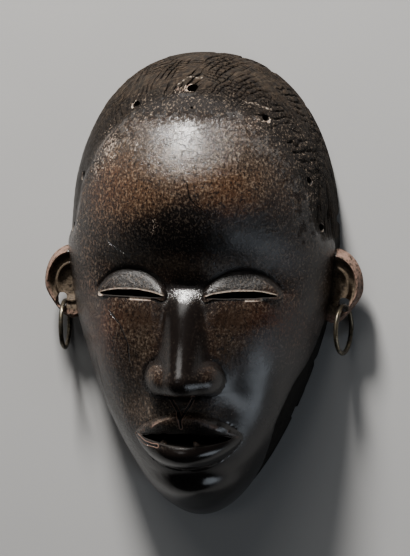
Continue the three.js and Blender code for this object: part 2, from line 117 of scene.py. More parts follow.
def hill(x, y, cx, cy, rx, ry):
    return np.exp(-(((x - cx) / rx) ** 2) - ((y - cy) / ry) ** 2)


def round_off(t, power):
    return np.maximum(0, 1 - clamp01(t) ** power) ** (1 / power)


def lattice(ix, iy, iz, seed):
    """A repeatable value from 0 to 1 at each point of a lattice."""
    mixed = ix * 374761393 + iy * 668265263 + iz * 2147483647 + seed * 974634777
    mixed = (mixed ^ (mixed >> 13)) * 1274126177
    return ((mixed ^ (mixed >> 16)) & 0xFFFF) / 65535.0


def noise(points, size, seed=0):
    """Smooth noise from -1 to 1 whose bumps are about this size."""
    p = np.asarray(points, float) / size
    cell = np.floor(p).astype(np.int64)
    f = p - cell
    f = f * f * (3 - 2 * f)
    total = 0
    for dx in (0, 1):
        for dy in (0, 1):
            for dz in (0, 1):
                weight = np.abs(1 - dx - f[..., 0]) * np.abs(1 - dy - f[..., 1]) * np.abs(1 - dz - f[..., 2])
                total += weight * lattice(cell[..., 0] + dx, cell[..., 1] + dy, cell[..., 2] + dz, seed)
    return 2 * total - 1


# The plain form


def outline(y, half, height):
    widest = WIDEST * height / HEIGHT
    upper = half * round_off((y - widest) / (height / 2 - widest), UPPER_POWER)
    t = clamp01((widest - y) / (height / 2 + widest))
    lower = half * np.sqrt(lens(t)) * (1 - JAW_TAPER * t**1.4)
    return np.where(y > widest, upper, lower)


HALF_WIDTH = (mask_high[0] - EAR_REACH) / outline(np.array(EAR_LEVEL), 1, HEIGHT)
WALL_X = mask_high[0] - EAR_REACH
EYE_WIDTH = 2 * HALF_WIDTH / 5
EYE_CENTRE = EYE_WIDTH
SLIT_HALF = 0.62 * EYE_WIDTH
MOUTH_HALF = 0.92 * EYE_WIDTH
GAP_SHARE = 0.89


def profile(y, depth, height):
    t = np.abs(y) / (height / 2)
    return depth * np.where(y > 0, round_off(t, CROWN_PROFILE_POWER), round_off(t, CHIN_PROFILE_POWER))


def section(s):
    return round_off(np.abs(s), SECTION_POWER)


# The carving of the face, as heights above the plain form

BROW_HOLLOW = 2.6 * U
LID_CREASE = 0.85 * U
LID_SWELL = 1.35 * U
LID_HEIGHT = 4.6 * U
CHEEK_LEDGE = 1.25 * U
CHEEK_SWELL = 1.7 * U
NOSE_HEIGHT = 6.8 * U
WING_HEIGHT = 4.1 * U
NOSTRIL_PLACE = 4.3 * U
UPPER_LIP = 4.9 * U
LOWER_LIP = 6.2 * U


def slit_top(a):
    return EYE_SLIT_HEIGHT * lens(a) ** 0.8


def slit_bottom(a):
    return -0.1 * EYE_SLIT_HEIGHT * lens(a)


def lid_share(x):
    return (np.abs(x) - EYE_CENTRE) / (1.12 * SLIT_HALF)


def lid_crease(a):
    return slit_top(a / 1.05) + LID_HEIGHT * lens(a) ** 0.75 - 0.4 * U


def lid_relief(x, y):
    a = lid_share(x)
    inside = lens(a)
    up = y - EYE_LINE
    crease = lid_crease(a)
    groove = np.exp(-(((up - crease) / (0.75 * U)) ** 2)) * smooth(-0.02, 0.18, inside)
    share = clamp01((up + 0.4 * U) / np.maximum(crease + 0.4 * U, 0.1 * U))
    swell = LID_SWELL * smooth(0, 0.3, inside) * np.maximum(np.sin(np.pi * (0.22 + 0.78 * share)), 0) ** 0.8
    on_lid = (up >= -0.4 * U) & (up <= crease)
    return np.where(on_lid, swell, 0) - LID_CREASE * groove


def cheek_relief(x, y):
    side = np.abs(x)
    below = 1 - smooth(EYE_LINE - 0.45 * U, EYE_LINE + 0.1 * U, y)
    span = smooth(3 * U, 7 * U, side) * (1 - smooth(15 * U, 23 * U, side))
    ledge = CHEEK_LEDGE * below * span * np.exp(-(((y - EYE_LINE) / (16 * U)) ** 2))
    return ledge + CHEEK_SWELL * hill(side, y, 16 * U, -9 * U, 8.5 * U, 11 * U)


def ridge_line(y):
    root = EYE_LINE + 1.5 * U
    tip = NOSE_BASE + 3.4 * U
    bridge = 0.14 + 0.86 * clamp01((root - y) / (root - tip)) ** 1.3
    under = 0.5 + 0.5 * np.sqrt(lens(clamp01((tip - y) / (tip - NOSE_BASE)) * 0.9))
    return np.where(y >= tip, bridge, under)


def nose_relief(x, y):
    side = np.abs(x)
    down = clamp01((EYE_LINE - y) / (EYE_LINE - NOSE_BASE))
    height = ridge_line(y) * NOSE_HEIGHT * (1 - smooth(EYE_LINE - U, EYE_LINE + 4 * U, y))
    ridge = 0.88 * height * np.exp(-((side / ((3.2 + 1.1 * down) * U)) ** 2.4))
    apart = ((side - NOSTRIL_PLACE) / (3.7 * U)) ** 2 + ((y - NOSE_BASE - 2.9 * U) / (3.8 * U)) ** 2
    wing = WING_HEIGHT * np.maximum(0, 1 - apart) ** 0.8
    base = smooth(NOSE_BASE - 0.5 * U, NOSE_BASE + 0.5 * U, y)
    foot = 0.3 * height * np.exp(-((x / (7.2 * U)) ** 2))
    return np.cbrt(ridge**3 + wing**3) * base + foot * smooth(NOSE_BASE - 5 * U, NOSE_BASE + 3 * U, y)


def gap_top(a):
    return 0.5 * MOUTH_GAP * lens(a / GAP_SHARE) ** 0.9


def mouth_top(a):
    return gap_top(a * GAP_SHARE)


def mouth_bottom(a):
    return -gap_top(a * GAP_SHARE)


def upper_lip_edge(a):
    bow = clamp01(1 - np.abs(a) ** 1.45) ** 0.9
    return UPPER_LIP * bow * (1 - 0.1 * np.exp(-((a / 0.13) ** 2)))


def lower_lip_edge(a):
    return -LOWER_LIP * lens(a) ** 0.62


def lip_relief(x, y):
    a = x / MOUTH_HALF
    up = y - MOUTH_LINE
    inside = lens(a)
    gap = gap_top(a)
    edge = upper_lip_edge(a)
    share = clamp01((up - gap) / np.maximum(edge - gap, 0.2 * U))
    upper = 2.6 * U * inside**0.7 * (0.25 + 0.75 * share) * (1 - smooth(edge - 0.1 * U, edge + 0.9 * U, up))
    share = clamp01((-gap - up) / np.maximum(-gap - lower_lip_edge(a), 0.2 * U))
    lower = 3.7 * U * inside**0.6 * np.maximum(0, np.sin(np.pi * (0.2 + 0.8 * share))) ** 0.75
    return np.where(up >= 0, upper, lower)


def face_relief(x, y):
    side = np.abs(x)
    forehead = 6.4 * U * hill(x, y, 0, 24 * U, 20 * U, 15 * U)
    socket = -BROW_HOLLOW * hill(side, y, EYE_CENTRE, 4.5 * U, 9.5 * U, 5.5 * U)
    root = -1.6 * U * hill(x, y, 0, 1.6 * U, 5 * U, 3 * U)
    muzzle = 4.4 * U * hill(x, y, 0, MOUTH_LINE, 15 * U, 11 * U)
    fold = -1.1 * U * hill(side, y, 10 * U, NOSE_BASE - 3 * U, 4 * U, 6 * U)
    under_lip = -1.9 * U * hill(x, y, 0, MOUTH_LINE - 8.2 * U, 9 * U, 2.4 * U)
    philtrum = -0.5 * U * hill(x, y, 0, NOSE_BASE - 2.4 * U, 1.8 * U, 2.4 * U)
    chin = 4.8 * U * hill(x, y, 0, CHIN + 9.5 * U, 10 * U, 6 * U)
    broad = forehead + socket + root + muzzle + fold + under_lip + philtrum + chin
    return broad + lid_relief(x, y) + cheek_relief(x, y) + nose_relief(x, y) + lip_relief(x, y)


def surface_height(x, y):
    width = np.maximum(outline(y, HALF_WIDTH, HEIGHT), 1e-6)
    plain = section(np.minimum(1, np.abs(x) / width)) * profile(y, SHELL_DEPTH, HEIGHT)
    return plain + face_relief(x, y) * smooth(0, 0.45 * SHELL_DEPTH, plain)


# The rough band round the crown and the narrow one along the rim

FACE_PROUD = 0.8 * U
RIM_BAND_WIDTH = 6.2 * U
CROWN_ARC = 86 * SCALE  # mean radius of the crown's curve in plan


def crown_turn(x, y):
    """The angle from the middle of the crown, and the share of the way out to its edge."""
    across = x / HALF_WIDTH
    up = (y - WIDEST) / (CROWN - WIDEST)
    return np.arctan2(across, up), np.hypot(across, up)


def hairline(across):
    return 0.8 + 0.09 * across * across


def hair_share(x, y):
    """Above 0 in the rough band, below 0 on the polished face."""
    turn, share = crown_turn(x, y)
    above = smooth(EAR_LEVEL + 0.8 * EAR_HALF, EAR_LEVEL + 2 * EAR_HALF, y)
    return (share - hairline(np.sin(turn))) * above - 0.05 * (1 - above)


def ragged_edge(points):
    """How far the bands' edges stray, as a share of the way to the crown's edge."""
    return 0.014 * noise(points, 11, 3) + 0.008 * noise(points, 4, 4)


def rim_width(x, y):
    """How far the rim's band reaches forwards: most where the lower right rim is worn and chipped."""
    return RIM_BAND_WIDTH * (1 + 1.5 * low_right(x, y))


def low_right(x, y):
    return hill(x, y, 21 * U, -29 * U, 9 * U, 15 * U)


def proud_share(x, y, z, ragged):
    crown = smooth(-0.035, 0.03, hair_share(x, y) + ragged)
    width = rim_width(x, y)
    return smooth(width - 0.5 * U, width + 1.2 * U, z + 60 * ragged) * (1 - crown)


# A split runs up the upper lip in a V, with a nick where its arms meet
SPLIT_FOOT = (-0.4 * U, MOUTH_LINE + 4.6 * U)


def nick_depth(x, y):
    return 2.2 * hill(x, y, *SPLIT_FOOT, 0.5 * U, 0.65 * U)


def band_place(x, y, z):
    """Millimetres round the crown from its middle, and back from the rim towards the hairline."""
    turn, share = crown_turn(x, y)
    return CROWN_ARC * turn, z + 0.6 * CROWN_ARC * (1 - share)


# The band is hatched with cuts that run out to the rim, and others along it
OUT_SPACING = 4.9 * SCALE
OUT_WIDTH = 0.9 * SCALE
ALONG_SPACING = 2.9 * SCALE
ALONG_WIDTH = 0.55 * SCALE
CUT_DEPTH = 0.9 * SCALE
# Round the crown from its middle: where the left side's cuts are whole and where they have faded out,
# and where the cuts towards both ends have faded out and where they are whole
LEFT_FADE = (-52 * SCALE, -95 * SCALE)
END_FADE = (120 * SCALE, 75 * SCALE)


def left_share(t):
    """1 where the band runs down the left side, smooth and narrow, and 0 past the left hole."""
    return smooth(*LEFT_FADE, t)


def hatching(x, y, z):
    """Where a place stands among the wavy cuts that run out and along, and how strong both kinds are."""
    t, v = band_place(x, y, z)
    flat = np.stack([t, v, 0 * t], axis=-1)
    drawn = flat * np.array([0.5, 1, 1])
    rough = 1 - left_share(t)
    return {
        "out_place": t + 0.45 * v + 3.4 * noise(flat, 14, 21) + 1.3 * noise(flat, 4.5, 22),
        "out_strength": smooth(-0.5, 0.3, noise(flat, 9, 25)) * smooth(*END_FADE, np.abs(t)) * rough,
        "along_place": v + 2.3 * noise(drawn, 9, 23) + 0.9 * noise(drawn, 3.5, 24),
        "along_strength": 0.8 * smooth(-0.4, 0.4, noise(drawn, 7, 26)) * (0.2 + 0.8 * rough),
    }


def cut(place, spacing, width):
    """1 in the middle of each cut, 0 between them."""
    off = np.abs(place / spacing - np.round(place / spacing)) * spacing
    return smooth(width, 0.25 * width, off)


def cut_depth(x, y, z):
    cuts = hatching(x, y, z)
    out = cuts["out_strength"] * cut(cuts["out_place"], OUT_SPACING, OUT_WIDTH)
    along = cuts["along_strength"] * cut(cuts["along_place"], ALONG_SPACING, ALONG_WIDTH)
    return CUT_DEPTH * np.maximum(out, along)


# Meshes


def spread(count, density):
    """count + 1 values from -1 to 1, closer together where density is high."""
    fine = np.linspace(-1, 1, 4001)
    sums = np.concatenate([[0], np.cumsum(density((fine[1:] + fine[:-1]) / 2))])
    return np.interp(np.linspace(0, sums[-1], count + 1), sums, fine)


def bend(level, top, edge, end):
    """Bends levels from 0 to top so that top meets the edge, and lets them come straight by end."""
    least = np.maximum(edge / top, 0.3)
    beyond = top * least + (level - top) * ((end - top * least) / (end - top))
    bent = np.where(level / top < 1, level * least, beyond)
    return np.where((level / top <= 0) | (level / end >= 1), level, bent)


def row_level(x, y):
    lid = bend(y - EYE_LINE, lid_crease(np.array(0.0)), lid_crease(lid_share(x)), 17 * U) + EYE_LINE
    lip = x / MOUTH_HALF
    upper = bend(lid - MOUTH_LINE, UPPER_LIP, upper_lip_edge(lip), 1.9 * UPPER_LIP)
    return MOUTH_LINE - bend(-upper, LOWER_LIP, -lower_lip_edge(lip), 2 * LOWER_LIP)


def grid_normals(points):
    across = np.gradient(points, axis=1)
    along = np.gradient(points, axis=0)
    normals = np.cross(across, along)
    return normals / np.maximum(np.linalg.norm(normals, axis=2, keepdims=True), 1e-9)


def dome_faces(rows, columns):
    """Faces of a dome: rows of points between two poles, over a flat base between the end columns."""

    def on(row, column):
        return 1 + (row - 1) * (columns + 1) + column

    last = (rows - 1) * (columns + 1) + 1
    faces = []
    for i in range(1, rows - 1):
        for j in range(columns):
            faces.append((on(i, j), on(i, j + 1), on(i + 1, j + 1), on(i + 1, j)))
        faces.append((on(i, 0), on(i + 1, 0), on(i + 1, columns), on(i, columns)))
    for j in range(columns):
        faces.append((0, on(1, j + 1), on(1, j)))
        faces.append((on(rows - 1, j), on(rows - 1, j + 1), last))
    faces.append((0, on(1, 0), on(1, columns)))
    faces.append((last, on(rows - 1, columns), on(rows - 1, 0)))
    return faces


def dome_points(grid, height):
    """The grid's inner rows as a list of points, with a pole before and after them."""
    inner = grid[1:-1].reshape(-1, 3)
    poles = np.array([[0, -height / 2, 0], [0, height / 2, 0]])
    return np.concatenate([poles[:1], inner, poles[1:]])


def add_object(name, data):
    piece = bpy.data.objects.new(name, data)
    bpy.context.scene.collection.objects.link(piece)
    return piece


def dress(mesh, slot):
    """Smooth faces, all of them in the material of this slot."""
    for material in MATERIALS:
        mesh.materials.append(material)
    mesh.polygons.foreach_set("material_index", np.full(len(mesh.polygons), slot, np.int32))
    mesh.polygons.foreach_set("use_smooth", np.ones(len(mesh.polygons), bool))


def make_mesh(name, points, faces, slot):
    mesh = bpy.data.meshes.new(name)
    mesh.from_pydata((np.asarray(points) * MM).tolist(), [], faces)
    dress(mesh, slot)
    mesh.update()
    return add_object(name, mesh)


def dome(name, grid, height, slot):
    rows, columns = grid.shape[0] - 1, grid.shape[1] - 1
    return make_mesh(name, dome_points(grid, height), dome_faces(rows, columns), slot)


def combine(piece, other, operation):
    """Joins or cuts the piece with another, and removes the other."""
    modifier = piece.modifiers.new("combine", "BOOLEAN")
    modifier.solver = "MANIFOLD"
    modifier.operation = operation
    modifier.object = other
    with bpy.context.temp_override(object=piece, active_object=piece, selected_objects=[piece]):
        bpy.ops.object.modifier_apply(modifier=modifier.name)
    bpy.data.objects.remove(other)


# The face's surface, with the marks of the knife


def row_density(v):
    y = HEIGHT / 2 * np.sin(v * np.pi / 2)
    eyes = 1.6 * np.exp(-(((y - EYE_LINE - 1.5 * U) / (4.5 * U)) ** 2))
    nose = 1.0 * np.exp(-(((y - NOSE_BASE) / (4 * U)) ** 2))
    mouth = 1.6 * np.exp(-(((y - MOUTH_LINE) / (7 * U)) ** 2))
    crown = 0.5 * np.exp(-(((y - 0.85 * CROWN) / (12 * U)) ** 2))
    return 1 + eyes + nose + mouth + crown


def column_density(v):
    return 1 + 0.7 * np.exp(-((v / 0.36) ** 2))


def face_grid():
    along = spread(FACE_ROWS, row_density)[:, None]
    s = np.sin(spread(FACE_COLUMNS, column_density) * np.pi / 2)[None, :]
    level = HEIGHT / 2 * np.sin(along * np.pi / 2)
    y = row_level(s * outline(level, HALF_WIDTH, HEIGHT), level + 0 * s)
    x = s * outline(y, HALF_WIDTH, HEIGHT)
    points = np.stack([x, y, surface_height(x, y)], axis=2)
    z = points[..., 2]
    proud = proud_share(x, y, z, ragged_edge(points))
    facets = 0.24 * noise(points, 17, 1) + 0.12 * noise(points, 8, 2)
    rough = 0.2 * noise(points * np.array([1, 0.5, 0.5]), 3.2, 5) + 0.14 * noise(points, 1.6, 6)
    band = smooth(0.0, 0.03, hair_share(x, y))
    out = proud * (FACE_PROUD + facets) + (1 - proud) * (rough - band * cut_depth(x, y, z))
    out -= 0.5 * SCALE * nick_depth(x, y)
    out *= smooth(0, 2.5, z)
    moved = points + grid_normals(points) * out[..., None]
    chipped = (1.3 + 1.6 * low_right(x, y)) * SCALE * smooth(0.4, 0.7, noise(points, 7, 14))
    chipped *= smooth(9, 0.5, z)
    moved[..., :2] *= 1 - chipped[..., None] / HALF_WIDTH
    moved[:, [0, -1], 2] = 0
    return moved


def scallops(points, size, seed):
    """Shallow hollows left by an adze: 0 at the middle of each, 1 at the ridges between them."""
    p = points[..., :2] / size
    cell = np.floor(p).astype(np.int64)
    nearest = np.full(p.shape[:-1], 9.0)
    for dx in (-1, 0, 1):
        for dy in (-1, 0, 1):
            ix, iy = cell[..., 0] + dx, cell[..., 1] + dy
            jitter_x = lattice(ix, iy, 0 * ix, seed)
            jitter_y = lattice(ix, iy, 0 * ix + 1, seed)
            apart = (p[..., 0] - ix - jitter_x) ** 2 + (p[..., 1] - iy - jitter_y) ** 2
            nearest = np.minimum(nearest, apart)
    return np.minimum(nearest, 1)


def hollow_grid():
    height = HEIGHT - 2 * RIM_WALL
    along = np.linspace(-1, 1, HOLLOW_ROWS + 1)[:, None]
    s = np.sin(np.linspace(-1, 1, HOLLOW_COLUMNS + 1) * np.pi / 2)[None, :]
    y = height / 2 * np.sin(along * np.pi / 2) + 0 * s
    x = s * outline(y, HALF_WIDTH - RIM_WALL, height)
    plain = section(s) * profile(y, SHELL_DEPTH - FRONT_WALL, height)
    brow = 3.6 * U * hill(x, y, 0, 24 * U, 18 * U, 14 * U)
    nose = 4.5 * U * hill(x, y, 0, NOSE_BASE + 2 * U, 7 * U, 9 * U)
    mouth = 2.2 * U * hill(x, y, 0, MOUTH_LINE, 11 * U, 9 * U)
    z = plain + (brow + nose + mouth) * smooth(0, 0.4 * SHELL_DEPTH, plain)
    points = np.stack([x, y, z], axis=2)
    marks = -0.9 * scallops(points * np.array([1, 0.6, 1]), 8, 7) * smooth(0, 8, z)
    moved = points + grid_normals(points) * marks[..., None]
    moved[:, [0, -1], 2] = 0
    return moved


# Cutters


def prism(name, outline_points, low, high, slot):
    count = len(outline_points)
    points = [(x, y, low) for x, y in outline_points] + [(x, y, high) for x, y in outline_points]
    faces = [tuple(reversed(range(count))), tuple(range(count, 2 * count))]
    faces += [(i, (i + 1) % count, count + (i + 1) % count, count + i) for i in range(count)]
    return make_mesh(name, points, faces, slot)


def lens_cutter(name, cx, cy, half, bottom, top, wobble):
    """A cutter between two curves, given over shares of its half width, each of them a little uneven."""
    shares = -np.cos(np.linspace(0, np.pi, 61))
    run = np.stack([shares * half, 0 * shares, 0 * shares + cx], axis=1)
    low = cy + bottom(shares) - BLUNT + wobble * noise(run, 3.5, 1)
    high = cy + top(shares) + BLUNT + wobble * noise(run, 3.5, 2)
    lower = np.stack([cx + shares * half, low], axis=1)
    upper = np.stack([cx + shares * half, high], axis=1)
    return prism(name, np.concatenate([lower, upper[::-1]]), 0.3 * SHELL_DEPTH, 2.3 * SHELL_DEPTH, CUT)


def ball(name, centre, radii, slot, uneven=0.0):
    mesh = bpy.data.meshes.new(name)
    bm = bmesh.new()
    bmesh.ops.create_uvsphere(bm, u_segments=32, v_segments=20, radius=1)
    for vertex in bm.verts:
        vertex.co *= 1 + uneven * float(noise(np.array(vertex.co) + centre, 0.8, 31))
    bm.transform(Matrix.Translation(Vector(centre) * MM) @ Matrix.Diagonal((*[r * MM for r in radii], 1)))
    bm.to_mesh(mesh)
    bm.free()
    dress(mesh, slot)
    return add_object(name, mesh)


# Angle of each attachment hole from the middle of the crown, and the side on which it is splintered,
# as an angle from the viewer's right, both in degrees
RIM_HOLES = [(-84, 180), (-66, 180), (-29, 180), (0, 190), (38, -50), (67, -10), (83, 0)]
HOLE_SETBACK = 0.035  # from the hairline towards the crown's edge, as a share of the way out to it
PIN_HOLE = (0.7 * U, 38.8 * U)  # a small shallow hole below the crown's one
PIN_HOLE_DIAMETER = 1.7 * SCALE
PIN_HOLE_DEPTH = 3.5 * SCALE


def surface_normal(x, y):
    step = 0.05
    across = surface_height(x + step, y) - surface_height(x - step, y)
    up = surface_height(x, y + step) - surface_height(x, y - step)
    return Vector((-float(across), -float(up), 2 * step)).normalized()


def rim_hole_places():
    """The middle of each attachment hole's mouth, its direction, its radius and its splintered side."""
    for angle, splintered in RIM_HOLES:
        across, up = math.sin(math.radians(angle)), math.cos(math.radians(angle))
        reach = hairline(across) + HOLE_SETBACK
        x = np.array(across * reach * HALF_WIDTH)
        y = np.array(WIDEST + up * reach * (CROWN - WIDEST))
        radius = (CROWN_HOLE_DIAMETER if angle == 0 else RIM_HOLE_DIAMETER) / 2
        centre = Vector((float(x), float(y), float(surface_height(x, y))))
        yield centre, surface_normal(x, y), radius, math.radians(splintered)


def hole_cutter(name, centre, normal, radius, length):
    ring = np.linspace(0, 2 * np.pi, 24, endpoint=False)
    wobble = 1 + 0.09 * np.sin(2 * ring + centre.x) + 0.05 * np.sin(3 * ring + centre.y)
    flat = np.stack([radius * wobble * np.cos(ring), radius * wobble * np.sin(ring)], axis=1)
    cutter = prism(name, flat, -length / 2, length / 2, CUT)
    turn = Vector((0, 0, 1)).rotation_difference(normal).to_matrix().to_4x4()
    cutter.data.transform(Matrix.Translation(centre * MM) @ turn)
    return cutter


# The ears

EAR_HALF_WIDTH = 0.95 * EAR_REACH
EAR_X = WALL_X + EAR_REACH - EAR_HALF_WIDTH
ring_low, ring_high = (np.array(corner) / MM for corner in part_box("earring_left"))
RING_OUTSIDE = ring_high[2] - ring_low[2]
LOBE_MIDDLE_Z = RING_OUTSIDE / 2
EAR_BACK_Z = LOBE_MIDDLE_Z - LOBE_THICKNESS / 2
HOLE_WIDTH = RING_WIRE + LOBE_HOLE_ROOM
HOLE_X = WALL_X + 0.4 * EAR_REACH
HOLE_BOTTOM = EAR_LEVEL - EAR_HALF + LOBE_DEPTH
HOLE_TOP = HOLE_BOTTOM + 3.4 * RING_WIRE


def ear_thickness(turn, share):
    rim = 0.56 * np.exp(-(((share - 0.84) / 0.1) ** 2))
    ridge = 0.36 * np.exp(-(((share - 0.52) / 0.09) ** 2))
    lobe = smooth(0.4, 0.75, -np.sin(turn) * share)
    edge = 1 - 0.35 * smooth(0.9, 1, share)
    body = EAR_THICKNESS * (0.44 + rim + ridge)
    return (body * (1 - lobe) + LOBE_THICKNESS * lobe) * edge


def ear(name, side):
    """One ear: rings of points round its middle over a flat back, and the hole in its lobe."""
    turn = np.linspace(0, 2 * np.pi, EAR_SIDES, endpoint=False)[None, :]
    share = np.linspace(0, 1, EAR_RINGS + 1)[1:, None]
    up = np.sin(turn) * share
    out = np.cos(turn) * share * (1 - 0.3 * smooth(0.1, 1, -up))
    x = EAR_X + EAR_HALF_WIDTH * out
    y = EAR_LEVEL + EAR_HALF * up
    z = EAR_BACK_Z + ear_thickness(turn, share)
    front = np.stack([x, y, z], axis=2)
    front[..., 2] += 0.16 * noise(front, 3, 8) + 0.1 * noise(front, 1.3, 9)
    back = front[-1].copy()
    back[:, 2] = EAR_BACK_Z
    middle = [[EAR_X, EAR_LEVEL, EAR_BACK_Z + float(ear_thickness(0, 0))]]
    points = np.concatenate([middle, front.reshape(-1, 3), back, [[EAR_X, EAR_LEVEL, EAR_BACK_Z]]])
    faces = []
    for i in range(EAR_SIDES):
        j = (i + 1) % EAR_SIDES
        faces.append((0, 1 + i, 1 + j))
        for k in range(EAR_RINGS):
            inner, outer = 1 + k * EAR_SIDES, 1 + (k + 1) * EAR_SIDES
            faces.append((inner + i, outer + i, outer + j, inner + j))
        edge = 1 + EAR_RINGS * EAR_SIDES
        faces.append((len(points) - 1, edge + j, edge + i))
    if side < 0:
        points = points * np.array([-1, 1, 1])
        faces = [tuple(reversed(face)) for face in faces]
    piece = make_mesh(name, points, faces, PATINA)
    bow = np.linspace(0, np.pi, 13)
    r = HOLE_WIDTH / 2
    upper = np.stack([side * HOLE_X + r * np.cos(bow), HOLE_TOP - r + r * np.sin(bow)], axis=1)
    lower = np.stack([side * HOLE_X - r * np.cos(bow), HOLE_BOTTOM + r - r * np.sin(bow)], axis=1)
    hole = prism(name + "_hole", np.concatenate([upper, lower]), -5, 3 * EAR_THICKNESS, PATINA)
    combine(piece, hole, "DIFFERENCE")
    return piece


# Materials


class Shader:
    """Builds one material out of nodes. Sizes are in millimetres."""

    def __init__(self, name):
        self.material = bpy.data.materials.new(name)
        self.material.use_nodes = True
        self.tree = self.material.node_tree
        self.surface = self.tree.nodes["Principled BSDF"]
        self.place = self.node("ShaderNodeTexCoord").outputs["Object"]

    def node(self, kind, **settings):
        node = self.tree.nodes.new(kind)
        for key, value in settings.items():
            setattr(node, key, value)
        return node

    def feed(self, socket, value):
        if isinstance(value, bpy.types.NodeSocket):
            self.tree.links.new(value, socket)
        elif isinstance(value, tuple) and socket.type == "RGBA":
            socket.default_value = (*value, 1)
        else:
            socket.default_value = value

    def attribute(self, name, output="Fac"):
        return self.node("ShaderNodeAttribute", attribute_name=name).outputs[output]

    def vector(self, operation, *inputs, output=0):
        node = self.node("ShaderNodeVectorMath", operation=operation)
        for socket, value in zip(node.inputs, inputs):
            self.feed(socket, value)
        return node.outputs[output]

    def noise(self, size, detail=2.0, roughness=0.5, place=None, output="Fac"):
        node = self.node("ShaderNodeTexNoise")
        self.feed(node.inputs["Vector"], place or self.place)
        self.feed(node.inputs["Scale"], 1 / (size * MM))
        self.feed(node.inputs["Detail"], detail)
        self.feed(node.inputs["Roughness"], roughness)
        return node.outputs[output]

    def band(self, across, along):
        """Places on the band, drawn out by these shares across and along its strokes."""
        node = self.node("ShaderNodeCombineXYZ")
        self.feed(node.inputs["X"], self.product(self.attribute("out_place"), across * MM))
        self.feed(node.inputs["Y"], self.product(self.attribute("along_place"), along * MM))
        return node.outputs["Vector"]

    def math(self, operation, a, b=0.0, clamp=False):
        node = self.node("ShaderNodeMath", operation=operation, use_clamp=clamp)
        self.feed(node.inputs[0], a)
        self.feed(node.inputs[1], b)
        return node.outputs[0]

    def step(self, value, low, high, to_low=0.0, to_high=1.0):
        node = self.node("ShaderNodeMapRange", interpolation_type="SMOOTHSTEP")
        for key, number in (("From Min", low), ("From Max", high), ("To Min", to_low), ("To Max", to_high)):
            self.feed(node.inputs[key], number)
        self.feed(node.inputs["Value"], value)
        return node.outputs["Result"]

    def off(self, value, middle):
        """How far the value is from the middle."""
        return self.math("ABSOLUTE", self.math("SUBTRACT", value, middle))

    def line(self, value, middle, half_width):
        """1 where the value is at the middle, 0 beyond the half width."""
        return self.step(self.off(value, middle), half_width, 0.3 * half_width)

    def cut(self, place, strength, spacing, width):
        """The band's cuts, from the places and strengths kept at the vertices."""
        off = self.math("PINGPONG", self.attribute(place), 0.5 * spacing)
        return self.product(self.step(off, width, 0.3 * width), self.attribute(strength))

    def fold(self, operation, values):
        result = values[0]
        for value in values[1:]:
            result = self.math(operation, result, value)
        return result

    def product(self, *values):
        return self.fold("MULTIPLY", values)

    def total(self, *values):
        return self.fold("ADD", values)

    def greatest(self, *values):
        return self.fold("MAXIMUM", values)

    def rest(self, value):
        """What the value lacks of 1."""
        return self.math("SUBTRACT", 1.0, value)

    def swing(self, value, span):
        """The value, which runs from 0 to 1, made to run this span with its middle at 0."""
        return self.product(self.math("SUBTRACT", value, 0.5), span)

    def mix(self, share, a, b):
        node = self.node("ShaderNodeMix", data_type="RGBA")
        self.feed(node.inputs["Factor"], share)
        self.feed(node.inputs[6], a)
        self.feed(node.inputs[7], b)
        return node.outputs[2]

    def bump(self, height, depth, normal=None):
        node = self.node("ShaderNodeBump")
        self.feed(node.inputs["Height"], height)
        self.feed(node.inputs["Distance"], depth * MM)
        self.feed(node.inputs["Strength"], 1.0)
        if normal:
            self.feed(node.inputs["Normal"], normal)
        return node.outputs[0]

    def from_segments(self, segments, wiggle, size):
        """Distance in millimetres, seen from the front, to the nearest of a few wavy line segments."""
        stray = self.vector("SUBTRACT", self.noise(size, 3, 0.6, output="Color"), (0.5, 0.5, 0.5))
        stray = self.vector("MULTIPLY", stray, (2 * wiggle * MM, 2 * wiggle * MM, 0))
        flat = self.vector("MULTIPLY_ADD", self.place, (1, 1, 0), stray)
        nearest = None
        for ax, ay, bx, by in segments:
            start = Vector((ax, ay, 0)) * MM
            run = Vector((bx - ax, by - ay, 0)) * MM
            reached = self.vector("SUBTRACT", flat, tuple(start))
            along = self.vector("DOT_PRODUCT", reached, tuple(run), output="Value")
            along = self.math("DIVIDE", along, run.length_squared, clamp=True)
            foot = self.vector("MULTIPLY_ADD", tuple(run), along, tuple(start))
            apart = self.math("DIVIDE", self.vector("DISTANCE", flat, foot, output="Value"), MM)
            nearest = self.math("MINIMUM", nearest, apart) if nearest else apart
        return nearest

    def set(self, **values):
        for key, value in values.items():
            self.feed(self.surface.inputs[key.replace("_", " ")], value)


NEAR_BLACK = (0.006, 0.0045, 0.004)
DARK_BROWN = (0.020, 0.011, 0.007)
WARM_BROWN = (0.060, 0.030, 0.015)
WORN_GREY = (0.042, 0.029, 0.020)
RED_BROWN = (0.055, 0.014, 0.006)
# Pale colours painted on the tops of the leather grain as highlights
WARM_GRAIN_HIGHLIGHT = (0.20, 0.135, 0.085)
GREY_GRAIN_HIGHLIGHT = (0.18, 0.14, 0.105)
GREY_BROWN = (0.010, 0.0078, 0.006)
TAN = (0.024, 0.016, 0.010)
OLIVE_BROWN = (0.085, 0.064, 0.044)
# Pale pink of worn edges and chips, also painted beside the splits as a highlight on their edges
PINK_WEAR_AND_CRACK_HIGHLIGHT = (0.21, 0.13, 0.10)
PALE_WOOD = (0.50, 0.42, 0.34)

